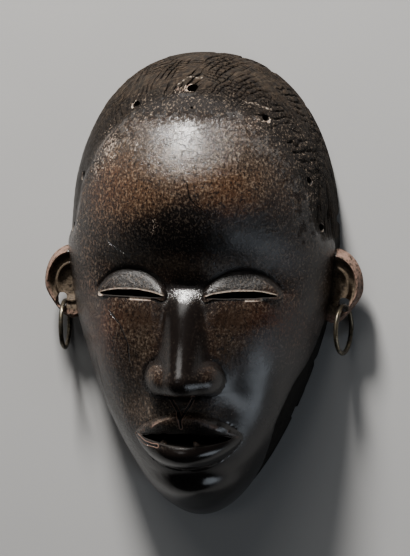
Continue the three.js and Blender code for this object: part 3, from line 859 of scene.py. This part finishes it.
# Cracks, as line segments seen from the front, in the carving's unit
SPLITS = [
    (-3.3, -20.4, -0.9, -24.6),
    (-0.9, -24.6, -0.4, -25.6),
    (2.6, -20.4, 0.3, -24.2),
    (0.3, -24.2, -0.4, -25.6),
    (-0.4, -25.6, -0.3, -27.2),
    (-11.2, -30.0, -8.6, -31.2),
    (-8.6, -31.2, -5.6, -31.4),
]
PALE_SCRATCHES = [
    (10.6, 40.4, 13.2, 39.9),
    (13.2, 39.9, 16.4, 38.6),
    (-3.6, 43.6, -1.2, 45.4),
    (-1.2, 45.4, 1.6, 45.2),
]
HAIR_CRACKS = [
    (-16.5, -3.4, -14.0, -6.0),
    (-14.0, -6.0, -12.2, -10.0),
    (-12.2, -10.0, -12.0, -14.0),
    (-17.1, 11.6, -14.8, 9.6),
    (-14.8, 9.6, -12.1, 8.6),
    (1.2, 24.6, 2.0, 21.0),
    (2.0, 21.0, 4.4, 18.6),
    (-21.0, -13.0, -19.6, -22.0),
]
# Remains of a pale filling along the slits' lower edges: middle and half length, in the carving's unit
SLIT_REMAINS = [(-19.3, 1.0), (-9.4, 2.3), (14.4, 1.7)]


def scaled(segments):
    return [tuple(value * U for value in segment) for segment in segments]


def patina_material(name, mirror):
    """Black-brown patina, worn brown in places, and the rough band. Mirror is how strongly it reflects."""
    s = Shader(name)
    sides = s.node("ShaderNodeSeparateXYZ")
    s.feed(sides.inputs[0], s.place)
    x = s.math("DIVIDE", sides.outputs["X"], MM)
    mottle = s.math("SUBTRACT", s.noise(10, 4, 0.62), 0.5)
    upright = s.vector("MULTIPLY", s.place, (1, 0.75, 0.85))
    streaky = s.vector("MULTIPLY", s.place, (1, 0.14, 0.3))
    leather = s.noise(1.15, 4, 0.75, place=upright)
    pits = s.noise(1.7, 4, 0.75, place=upright)
    skin = s.attribute("leather")
    grain = s.noise(1.5, 3, 0.6, place=streaky)
    brown = s.total(s.attribute("brown"), s.product(mottle, 0.8))
    worn = s.step(brown, 0.35, 1.0)

    colour = s.mix(s.step(brown, 0.05, 0.5), NEAR_BLACK, DARK_BROWN)
    warm = s.step(s.total(s.attribute("warm"), mottle), 0.1, 0.9)
    colour = s.mix(worn, colour, s.mix(warm, WORN_GREY, WARM_BROWN))
    red = s.product(s.attribute("red"), s.step(mottle, -0.15, 0.15, 0.4, 1.0))
    colour = s.mix(red, colour, RED_BROWN)
    # Painted highlight: pale specks where the leather grain's bumps rise, as if they caught the light
    lit = s.product(s.step(leather, 0.52, 0.62), s.step(brown, -0.1, 0.9, 0.4, 0.9), skin)
    colour = s.mix(lit, colour, s.mix(warm, GREY_GRAIN_HIGHLIGHT, WARM_GRAIN_HIGHLIGHT))
    colour = s.mix(s.product(s.step(leather, 0.47, 0.38), skin), colour, NEAR_BLACK)
    colour = s.mix(s.step(pits, 0.47, 0.38, 0.0, 0.8), colour, NEAR_BLACK)
    colour = s.mix(s.step(grain, 0.5, 0.72, 0.0, 0.35), colour, NEAR_BLACK)
    # Painted shade: near black where the surface lies below what is round it, in creases and recesses
    colour = s.mix(s.step(s.attribute("recess_shade"), 0.1, 1.3, 0.0, 0.9), colour, NEAR_BLACK)
    edge = s.product(s.attribute("edge"), s.step(pits, 0.35, 0.6, 0.2, 1.0))
    colour = s.mix(edge, colour, PINK_WEAR_AND_CRACK_HIGHLIGHT)

    ragged = s.swing(s.noise(3, 4, 0.7), 1.6)
    wander = s.total(ragged, s.swing(s.noise(9, 3, 0.6), 3.0))
    hair = s.step(s.total(s.attribute("hair"), wander), -0.5, 0.5)
    out_cut = s.cut("out_place", "out_strength", OUT_SPACING, OUT_WIDTH)
    along_cut = s.cut("along_place", "along_strength", ALONG_SPACING, ALONG_WIDTH)
    hatch = s.greatest(out_cut, along_cut)
    pads = s.noise(1.7, 4, 0.75)
    tone = s.noise(4.5, 4, 0.7)
    strokes = s.noise(1.3, 4, 0.7, place=s.band(1.0, 0.18))
    crossing = s.noise(1.3, 4, 0.7, place=s.band(0.16, 1.0))
    smooth_band = s.attribute("smooth_band")
    rough_wood = s.mix(s.step(tone, 0.36, 0.62), GREY_BROWN, TAN)
    rough_wood = s.mix(s.step(strokes, 0.50, 0.64, 0.0, 0.33), rough_wood, OLIVE_BROWN)
    rough_wood = s.mix(s.step(crossing, 0.52, 0.66, 0.0, 0.27), rough_wood, OLIVE_BROWN)
    rough_wood = s.mix(s.step(strokes, 0.46, 0.34, 0.0, 0.7), rough_wood, NEAR_BLACK)
    rough_wood = s.mix(s.step(crossing, 0.46, 0.34, 0.0, 0.8), rough_wood, NEAR_BLACK)
    rough_wood = s.mix(s.product(hatch, s.step(tone, 0.3, 0.55, 1.0, 0.7)), rough_wood, NEAR_BLACK)
    rough_wood = s.mix(s.product(smooth_band, 0.85), rough_wood, s.mix(pads, NEAR_BLACK, GREY_BROWN))
    colour = s.mix(hair, colour, rough_wood)
    rim = s.step(s.total(s.attribute("rim"), ragged), -0.3, 0.6)
    rim_wood = s.mix(s.step(pads, 0.42, 0.6), (0.004, 0.0035, 0.003), GREY_BROWN)
    colour = s.mix(s.product(rim, s.rest(hair)), colour, rim_wood)
    ear_wood = s.mix(s.step(pads, 0.32, 0.54), GREY_BROWN, OLIVE_BROWN)
    ear_wood = s.mix(s.product(s.attribute("ear_edge"), s.step(pads, 0.35, 0.6)), ear_wood, PINK_WEAR_AND_CRACK_HIGHLIGHT)
    colour = s.mix(s.attribute("ear"), colour, ear_wood)
    patchy = s.total(s.attribute("gloom"), s.swing(pits, 3.0))
    gloom = s.product(s.step(patchy, 0.2, 1.0), s.step(s.attribute("gloom"), 0.05, 0.3))
    # Near-black dirt along the hairline, with painted highlights: pale specks on the tops of the leather
    # grain
    grime_and_grain_highlights = s.mix(s.step(leather, 0.54, 0.66), NEAR_BLACK, GREY_GRAIN_HIGHLIGHT)
    colour = s.mix(s.product(gloom, 0.9), colour, grime_and_grain_highlights)

    chips = s.step(s.total(s.attribute("chip"), s.swing(pads, 1.4)), 0.5, 0.62)
    spots = s.noise(1.0, 3, 0.6, place=upright)
    fleck = s.step(s.total(spots, s.product(s.attribute("flecks"), 0.2)), 0.72, 0.78, 0.0, 0.75)
    upper = s.attribute("upper")
    from_slit = s.total(s.attribute("slit"), s.swing(pads, 0.8))
    lid_edge = s.product(s.step(from_slit, 0.9, 0.45), upper, s.step(mottle, -0.22, -0.05))
    pale = s.greatest(chips, fleck, s.product(lid_edge, 0.6))
    for middle, half_length in SLIT_REMAINS:
        inside = s.step(s.off(x, middle * U), (half_length + 0.1) * U, half_length * U)
        pale = s.greatest(pale, s.product(inside, s.rest(upper), s.step(from_slit, 1.6, 1.2)))
    scratch = s.step(s.from_segments(scaled(PALE_SCRATCHES), 0.6, 3), 0.45, 0.15)
    pale = s.greatest(pale, s.product(scratch, s.step(pads, 0.45, 0.6, 0.0, 0.6)))
    colour = s.mix(pale, colour, s.mix(s.step(pads, 0.35, 0.6), PINK_WEAR_AND_CRACK_HIGHLIGHT, PALE_WOOD))

    split = s.from_segments(scaled(SPLITS), 0.5, 3)
    hairline = s.from_segments(scaled(HAIR_CRACKS), 0.8, 4)
    crackle = s.product(s.line(s.noise(6, 2, 0.6), 0.5, 0.034), s.attribute("crackle"))
    gap = s.greatest(s.step(split, 0.7, 0.4), s.step(hairline, 0.5, 0.15, 0.0, 0.8))
    # Painted highlight: a pale line along each side of a split, for its lit edges
    lip = s.step(s.off(split, 0.85), 0.3, 0.1, 0.0, 0.85)
    colour = s.mix(lip, colour, PINK_WEAR_AND_CRACK_HIGHLIGHT)
    colour = s.mix(gap, colour, (0.003, 0.0025, 0.0025))
    colour = s.mix(s.product(crackle, 0.7), colour, DARK_BROWN)

    relief = s.product(leather, s.total(s.product(skin, 0.9), 0.04))
    normal = s.bump(relief, 0.5)
    waves = s.total(skin, 0.12, s.product(s.attribute("crackle"), 0.22))
    normal = s.bump(s.product(s.noise(4.5, 3, 0.55), waves), 0.45, normal)
    normal = s.bump(s.product(grain, skin), 0.08, normal)
    marks = s.product(s.total(strokes, crossing), 0.5)
    carved = s.total(s.math("SUBTRACT", pads, s.product(hatch, 1.4)), marks)
    rough = s.product(hair, s.rest(s.product(smooth_band, 0.7)))
    normal = s.bump(s.product(carved, rough), 0.5, normal)
    normal = s.bump(s.rest(s.greatest(gap, crackle)), 0.6, normal)
    normal = s.bump(s.product(pads, s.greatest(rim, gloom)), 0.6, normal)
    dull = s.greatest(rough, s.product(rim, 0.9), pale, s.product(gloom, 0.6))
    dull = s.greatest(dull, s.product(s.attribute("ear"), 0.7))
    satin = s.product(s.attribute("satin"), 0.12)
    shine = s.total(satin, s.step(s.noise(16, 3, 0.6), 0.35, 0.65, 0.12, 0.18), s.product(dull, 0.62))
    roughness = s.math("ADD", shine, s.product(skin, 0.05), clamp=True)
    s.set(Base_Color=colour, Roughness=roughness, Normal=normal, Specular_IOR_Level=mirror)
    return s.material


def wood_material(name, dark, light, size, roughness, depth):
    """Plain wood with its grain along the mask."""
    s = Shader(name)
    grain = s.noise(size, 4, 0.6, place=s.vector("MULTIPLY", s.place, (1, 0.12, 0.3)))
    mottle = s.noise(8 * size, 4, 0.6)
    colour = s.mix(s.step(grain, 0.35, 0.7), dark, light)
    colour = s.mix(s.step(mottle, 0.4, 0.65, 0.0, 0.6), colour, dark)
    s.set(Base_Color=colour, Roughness=roughness, Normal=s.bump(grain, depth))
    return s.material


def metal_material():
    """Old bronze gone dark, rubbed bright where it hangs free."""
    s = Shader("tarnished_metal")
    tarnish = s.noise(3.5, 4, 0.6)
    fine = s.noise(0.5, 3, 0.6)
    colour = s.mix(s.step(tarnish, 0.4, 0.65), (0.15, 0.125, 0.085), (0.055, 0.05, 0.04))
    colour = s.mix(s.step(fine, 0.55, 0.75, 0.0, 0.5), colour, (0.03, 0.028, 0.022))
    roughness = s.step(tarnish, 0.35, 0.65, 0.26, 0.42)
    s.set(Base_Color=colour, Metallic=0.85, Roughness=roughness, Normal=s.bump(fine, 0.04))
    return s.material


PATINA, ROUGH, HOLLOW, CUT, TOOTH, METAL = range(6)
MATERIALS = [
    patina_material("patina", 0.46),
    patina_material("rough_patina", 0.14),
    wood_material("hollow_wood", (0.045, 0.026, 0.015), (0.12, 0.07, 0.04), 1.8, 0.72, 0.25),
    wood_material("cut_wood", (0.006, 0.005, 0.004), (0.02, 0.013, 0.009), 1.2, 0.7, 0.2),
    wood_material("tooth_wood", (0.03, 0.02, 0.014), (0.13, 0.09, 0.065), 0.9, 0.5, 0.1),
    metal_material(),
]


# The mask

TOOTH_PLACES = [-0.42, 0.24]


def carve_mask():
    mask = dome("mask_carving", face_grid(), HEIGHT, PATINA)
    for name, side in (("ear_left", -1), ("ear_right", 1)):
        combine(mask, ear(name, side), "UNION")
    combine(mask, dome("hollow", hollow_grid(), HEIGHT - 2 * RIM_WALL, HOLLOW), "DIFFERENCE")
    for side in (-1, 1):
        slit = lens_cutter("slit", side * EYE_CENTRE, EYE_LINE, SLIT_HALF, slit_bottom, slit_top, 0.15)
        combine(mask, slit, "DIFFERENCE")
        surface = float(surface_height(np.array(0.0), np.array(NOSE_BASE)))
        centre = (side * 0.66 * NOSTRIL_PLACE, NOSE_BASE - 0.2 * U, surface - 0.5 * U)
        combine(mask, ball("nostril", centre, (1.3 * U, 1.9 * U, 1.9 * U), CUT), "DIFFERENCE")
    mouth = lens_cutter("mouth", 0, MOUTH_LINE, GAP_SHARE * MOUTH_HALF, mouth_bottom, mouth_top, 0.35)
    combine(mask, mouth, "DIFFERENCE")
    for share in TOOTH_PLACES:
        x, y = share * MOUTH_HALF, MOUTH_LINE - float(gap_top(np.array(share)))
        z = float(surface_height(np.array(x), np.array(y))) - 1.2 * U
        combine(mask, ball("tooth", (x, y, z), (0.75 * U, 0.75 * U, 0.9 * U), TOOTH, 0.35), "UNION")
    for centre, normal, radius, _ in rim_hole_places():
        hole = hole_cutter("hole", centre, normal, radius, 2.4 * (FRONT_WALL + RIM_WALL))
        combine(mask, hole, "DIFFERENCE")
    x, y = (np.array(value) for value in PIN_HOLE)
    centre = Vector((float(x), float(y), float(surface_height(x, y))))
    hole = hole_cutter("pin", centre, surface_normal(x, y), PIN_HOLE_DIAMETER / 2, 2 * PIN_HOLE_DEPTH)
    combine(mask, hole, "DIFFERENCE")
    return mask


# Where the patina is worn brown: place and reach of each patch in the carving's unit, and how far it goes
BROWN_PATCHES = [
    (0, 28, 20, 11, 0.5),
    (-14, 30, 9, 5, 0.35),
    (-17, 20, 8, 8, 0.5),
    (-6, 20, 6, 5, 0.3),
    (9.5, 21.5, 7, 5.5, 0.5),
    (0, 17.5, 4, 3, -0.3),
    (14, 27, 7, 7, 0.25),
    (5, 14, 12, 4.5, -0.9),
    (-7, 12.5, 6, 3, -0.4),
    (-22, 27, 4, 8, -0.4),
    (-3, 8, 16, 5, 0.4),
    (20, 8, 7, 8, 0.25),
    (-16, -11, 8, 12, 0.4),
    (16, -6, 7, 8, 0.2),
    (-11.5, 3, 6, 2.4, -0.6),
    (11.5, 3, 6, 2.4, -0.6),
    (0, 7, 20, 2.5, 0.3),
    (9, -12, 5, 12, 0.45),
    (-9, -12, 5, 10, 0.4),
    (10, -27, 9, 12, -0.5),
    (0, -8, 3.5, 10, -0.5),
    (0, -24, 12, 3.4, 1.0),
    (-13, -26, 5, 7, 0.3),
    (0, -44, 12, 8, -0.5),
    (0, -31, 10, 4, -0.6),
]
RED_PATCHES = [
    (-21, -12, 5, 9, 0.75),
    (-17, 22, 5, 6, 0.45),
    (20, -7, 5, 5, 0.8),
    (10, 20, 5, 4, 0.3),
    (-17, -9, 4, 6, 0.5),
]
# Where the worn brown is warm rather than grey
WARM_PATCHES = [
    (-17, 21, 10, 9, 0.9),
    (-7, 19, 7, 5, 0.5),
    (9, 22, 8, 6, 0.7),
    (2, 26, 14, 6, 0.25),
    (-20, -10, 6, 12, 0.6),
    (20, -7, 5, 5, 0.5),
    (-23, 6, 4, 8, 0.5),
]
# Where the surface is less grained like leather than elsewhere, or more
LEATHER_PATCHES = [
    (0, -24, 10, 3, 0.4),
    (0, 28, 24, 13, 0.35),
    (0.4, 33.3, 8, 5, -0.6),
    (-19, 14, 8, 24, 0.25),
    (-20, -14, 7, 14, 0.3),
    (5, 13, 12, 5, -0.3),
    (0, -8, 4, 12, -0.65),
    (15, -14, 5, 7, -0.3),
    (12, -26, 9, 15, -0.75),
    (3, -44, 11, 9, -0.7),
    (0, -34, 8, 2.6, -0.6),
    (-10, -4.5, 7, 2.4, -0.6),
    (11, -4.5, 7, 2.4, -0.6),
    (-11.5, 3, 6, 2.4, 0.4),
    (11.5, 3, 6, 2.4, 0.4),
    (16, -9, 8, 7, 0.35),
]
# Where dirt has darkened the surface along the hairline
GLOOM_PATCHES = [
    (0, 40.5, 9, 2.5, 1.0),
    (8, 39.5, 9, 2.6, 0.9),
    (18, 34, 5, 4.5, 0.95),
    (23, 28, 3.5, 6, 0.85),
    (25.5, 19, 3, 8, 0.7),
    (-10, 39, 6, 3, 0.85),
    (-17, 34, 3.5, 4, 0.8),
    (-21, 28, 2.5, 5, 0.6),
]
# Where pale flecks lie close together
FLECK_PATCHES = [
    (-17.0, 31, 2.6, 4.4, 1.15),
    (-20.0, 26, 1.6, 3.0, 1.0),
    (-6.0, 15.3, 1.6, 2.6, 0.85),
    (14, 36, 3, 2.5, 0.8),
    (21, 33, 2.5, 4, 0.55),
    (25, 20, 1.5, 6, 0.7),
    (-2.6, 42.8, 1.3, 0.8, 1.3),
    (-25, 14, 1.0, 5, 0.8),
    (-9, 37, 3, 1.6, 0.8),
]
# Where the polish is satin
SATIN_PATCHES = [
    (13, -24, 9, 18, 1.0),
    (-11.5, 3, 6, 2.4, 2.4),
    (11.5, 3, 6, 2.4, 2.4),
]
# Where the polish has crackled
CRACKLE_PATCHES = [
    (0.4, 33.3, 7, 5, 1.0),
]


def patches(x, y, table):
    total = np.zeros_like(x)
    for cx, cy, rx, ry, strength in table:
        total += strength * hill(x, y, cx * U, cy * U, rx * U, ry * U)
    return total


def cavity_field(x, y):
    """Above 0 where the surface lies below what is round it, in millimetres."""
    reach = 2.2 * U
    turns = np.arange(8) * math.pi / 4
    around = sum(surface_height(x + reach * math.cos(turn), y + reach * math.sin(turn)) for turn in turns) / 8
    return np.clip(around - surface_height(x, y), -3, 3)


def slit_distance(x, y):
    """Millimetres from the nearer slit's edge, outwards, and whether the place is over it."""
    a = (np.abs(x) - EYE_CENTRE) / SLIT_HALF
    up = y - EYE_LINE
    over = up - slit_top(a) - BLUNT
    under = slit_bottom(a) - BLUNT - up
    ends = (np.abs(a) - 1) * SLIT_HALF
    return np.clip(np.maximum(np.maximum(over, under), ends), -2, 6), np.where(up > 0.6 * SCALE, 1.0, 0.0)


def hole_chips(points):
    """A pale crescent beside each attachment hole, where its edge is splintered."""
    chip = np.zeros(len(points))
    for centre, normal, radius, splintered in rim_hole_places():
        aside = Vector((math.cos(splintered), math.sin(splintered), 0)) * 0.5 * radius
        apart = np.linalg.norm(points - np.array(centre + aside), axis=1)
        chip = np.maximum(chip, 0.8 * smooth(1.3 * radius, 0.95 * radius, apart))
    return chip


def ear_fields(x, y, z):
    """1 on the ears, and 1 along their raised outer rims."""
    share = clamp01(z / np.maximum(profile(y, SHELL_DEPTH, HEIGHT), 1))
    wall = outline(y, HALF_WIDTH, HEIGHT) * round_off(share, SECTION_POWER)
    wall += FACE_PROUD * smooth(0.9, 1.3, z / RIM_BAND_WIDTH)
    beside = (np.abs(y - EAR_LEVEL) < EAR_HALF + 1) & (z < EAR_BACK_Z + 1.2 * EAR_THICKNESS)
    on_ear = smooth(0.2, 1.6, np.abs(x) - wall) * beside
    up = (y - EAR_LEVEL) / EAR_HALF
    out = (np.abs(x) - EAR_X) / EAR_HALF_WIDTH / (1 - 0.3 * smooth(0.1, 1, -up))
    share = np.hypot(up, out)
    return on_ear, on_ear * smooth(0.74, 0.82, share)


def read(rows, name, kind=np.int32, width=1):
    """An array of what each of a mesh's rows holds under this name: one value, or as many as the width."""
    values = np.empty(len(rows) * width, kind)
    rows.foreach_get(name, values)
    return values


def use_rough(mesh, rough):
    """Gives the rough patina, which shines less, to the faces whose vertices are mostly rough."""
    corners = read(mesh.loops, "vertex_index")
    first = read(mesh.polygons, "loop_start")
    count = read(mesh.polygons, "loop_total")
    share = np.add.reduceat(rough[corners].astype(float), first) / count
    slots = read(mesh.polygons, "material_index")
    slots[(slots == PATINA) & (share > 0.5)] = ROUGH
    mesh.polygons.foreach_set("material_index", slots)


def paint(mask):
    """Stores, at each vertex, what the patina depends on."""
    mesh = mask.data
    points = read(mesh.vertices, "co", np.float32, 3).reshape(-1, 3).astype(float) / MM
    x, y, z = points.T
    inner = np.abs(x) < 0.93 * outline(y, HALF_WIDTH, HEIGHT)
    recess_shade = np.zeros_like(x)
    recess_shade[inner] = cavity_field(x[inner], y[inner])
    slit, upper = slit_distance(x, y)
    on_ear, ear_edge = ear_fields(x, y, z)
    lip = x / MOUTH_HALF
    above = y - MOUTH_LINE - upper_lip_edge(lip)
    lips = np.exp(-((above / (0.28 * U)) ** 2)) * smooth(1.03, 0.9, np.abs(lip))
    fields = {
        "brown": 0.2 + patches(x, y, BROWN_PATCHES),
        "red": patches(x, y, RED_PATCHES),
        "leather": np.clip(0.65 + patches(x, y, LEATHER_PATCHES), 0.05, 1),
        "hair": np.clip(hair_share(x, y) / 0.02, -3, 3),
        "rim": np.clip((rim_width(x, y) - z) / U, -3, 3),
        **hatching(x, y, z),
        # Painted shade in creases and recesses, weaker under the nose
        "recess_shade": recess_shade * (1 - 0.8 * hill(x, y, 0, NOSE_BASE - 4 * U, 10 * U, 3 * U)),
        "warm": patches(x, y, WARM_PATCHES),
        "edge": 0.75 * lips,
        "crackle": patches(x, y, CRACKLE_PATCHES),
        "satin": patches(x, y, SATIN_PATCHES),
        "smooth_band": left_share(band_place(x, y, z)[0]),
        "chip": hole_chips(points),
        "flecks": patches(x, y, FLECK_PATCHES),
        "gloom": patches(x, y, GLOOM_PATCHES),
        "slit": slit,
        "upper": upper,
        "ear": on_ear,
        "ear_edge": ear_edge,
    }
    for name, values in fields.items():
        attribute = mesh.attributes.new(name, "FLOAT", "POINT")
        attribute.data.foreach_set("value", values.astype(np.float32))
    stray = 0.5 * noise(points, 7, 41) + 0.8 * noise(points, 2, 42)
    dirty = (fields["gloom"] > 0.15) & (fields["gloom"] + stray > 0.5)
    use_rough(mesh, (fields["hair"] + stray > 0) | (fields["rim"] > 0) | (on_ear > 0.5) | dirty)


def hang_ring(node):
    """A ring of uneven wire in the place of the frame's plain one."""
    low, high = (np.array(corner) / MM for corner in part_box(node))
    lean = math.radians(RING_LEANS[node])
    middle = (low + high) / 2
    radius = (high[1] - low[1] - RING_WIRE) / 2
    around = np.linspace(0, 2 * np.pi, 160, endpoint=False)[:, None]
    about = np.linspace(0, 2 * np.pi, 20, endpoint=False)[None, :]
    circle = np.stack([np.cos(around[:, 0]), np.sin(around[:, 0]), 0 * around[:, 0]], axis=1)
    uneven = noise(circle * radius + middle, 6, 12)[:, None]
    wire = RING_WIRE / 2 * (1 + 0.07 * uneven)
    reach = radius + wire * np.cos(about)
    points = np.stack([wire * np.sin(about), reach * np.cos(around), reach * np.sin(around)], axis=2)
    turn = np.array([[math.cos(lean), 0, -math.sin(lean)], [0, 1, 0], [math.sin(lean), 0, math.cos(lean)]])
    points = points @ turn.T + middle
    faces = []
    rows, columns = points.shape[:2]
    for i in range(rows):
        for j in range(columns):
            k, m = (i + 1) % rows, (j + 1) % columns
            faces.append((i * columns + j, i * columns + m, k * columns + m, k * columns + j))
    return make_mesh(node + "_wire", points.reshape(-1, 3), faces, METAL)


mask = carve_mask()
paint(mask)
mask.data.set_sharp_from_angle(angle=math.radians(38))
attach(mask, "root")
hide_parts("mask")
for node in RING_LEANS:
    ring = hang_ring(node)
    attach(ring, "root")
    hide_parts(node)


# Floor, lights and camera


FLOOR_HALF = 4  # metres
FLOOR_DROP = 0.0005  # metres, so that it lies clear of the mask's own base


def floor():
    shader = Shader("floor")
    tone = shader.noise(60, 3, 0.5)
    shader.set(Base_Color=shader.mix(tone, (0.39, 0.39, 0.39), (0.415, 0.415, 0.412)), Roughness=0.85)
    mesh = bpy.data.meshes.new("floor")
    corners = [(FLOOR_HALF * x, FLOOR_HALF * y, 0) for x, y in ((-1, -1), (1, -1), (1, 1), (-1, 1))]
    mesh.from_pydata(corners, [], [(0, 1, 2, 3)])
    mesh.materials.append(shader.material)
    piece = add_object("floor", mesh)
    piece.location.z = -FLOOR_DROP


def area_light(name, place, aim, size, power, colour):
    light = bpy.data.lights.new(name, "AREA")
    light.shape = "ELLIPSE"
    light.size, light.size_y = size
    light.energy = power
    light.color = colour
    lamp = add_object(name, light)
    lamp.location = place
    lamp.rotation_euler = (Vector(aim) - Vector(place)).to_track_quat("-Z", "Y").to_euler()


def studio():
    world = bpy.data.worlds.new("studio")
    bpy.context.scene.world = world
    world.use_nodes = True
    background = world.node_tree.nodes["Background"]
    background.inputs["Color"].default_value = (0.75, 0.78, 0.82, 1)
    background.inputs["Strength"].default_value = 0.03
    middle = (0, 0, 0.04)
    area_light("key", (-0.27, 1.47, 0.62), middle, (0.34, 0.26), 80, (1, 0.97, 0.93))
    area_light("top", (-0.25, 1.05, 1.05), middle, (0.8, 0.5), 3.5, (1, 0.98, 0.95))
    area_light("side", (1.22, -0.86, 0.50), middle, (0.60, 1.1), 4.6, (0.82, 0.9, 1))
    area_light("left", (-1.3, 0.1, 0.20), middle, (0.25, 0.9), 0.3, (1, 0.98, 0.95))
    area_light("front", (-0.35, 0.25, 1.6), middle, (0.5, 0.5), 0.85, (1, 0.99, 0.97))


CAMERA_TURN = 9.5  # degrees to the viewer's right
CAMERA_RISE = 6.5  # degrees towards the crown
CAMERA_DISTANCE = 1.7
CAMERA_AIM = Vector((0.004, 0.0055, 0.03))
SPAN = 0.290  # metres that the picture's height shows at the mask


def camera():
    turn, rise = math.radians(CAMERA_TURN), math.radians(CAMERA_RISE)
    back = Vector((math.sin(turn) * math.cos(rise), math.sin(rise), math.cos(turn) * math.cos(rise)))
    right = Vector((0, 1, 0)).cross(back).normalized()
    up = back.cross(right)
    data = bpy.data.cameras.new("camera")
    data.sensor_fit = "VERTICAL"
    data.sensor_height = 24
    data.lens = 24 * CAMERA_DISTANCE / SPAN
    piece = add_object("camera", data)
    axes = Matrix((right, up, back)).transposed().to_4x4()
    piece.matrix_world = Matrix.Translation(CAMERA_AIM + CAMERA_DISTANCE * back) @ axes
    bpy.context.scene.camera = piece


floor()
studio()
camera()
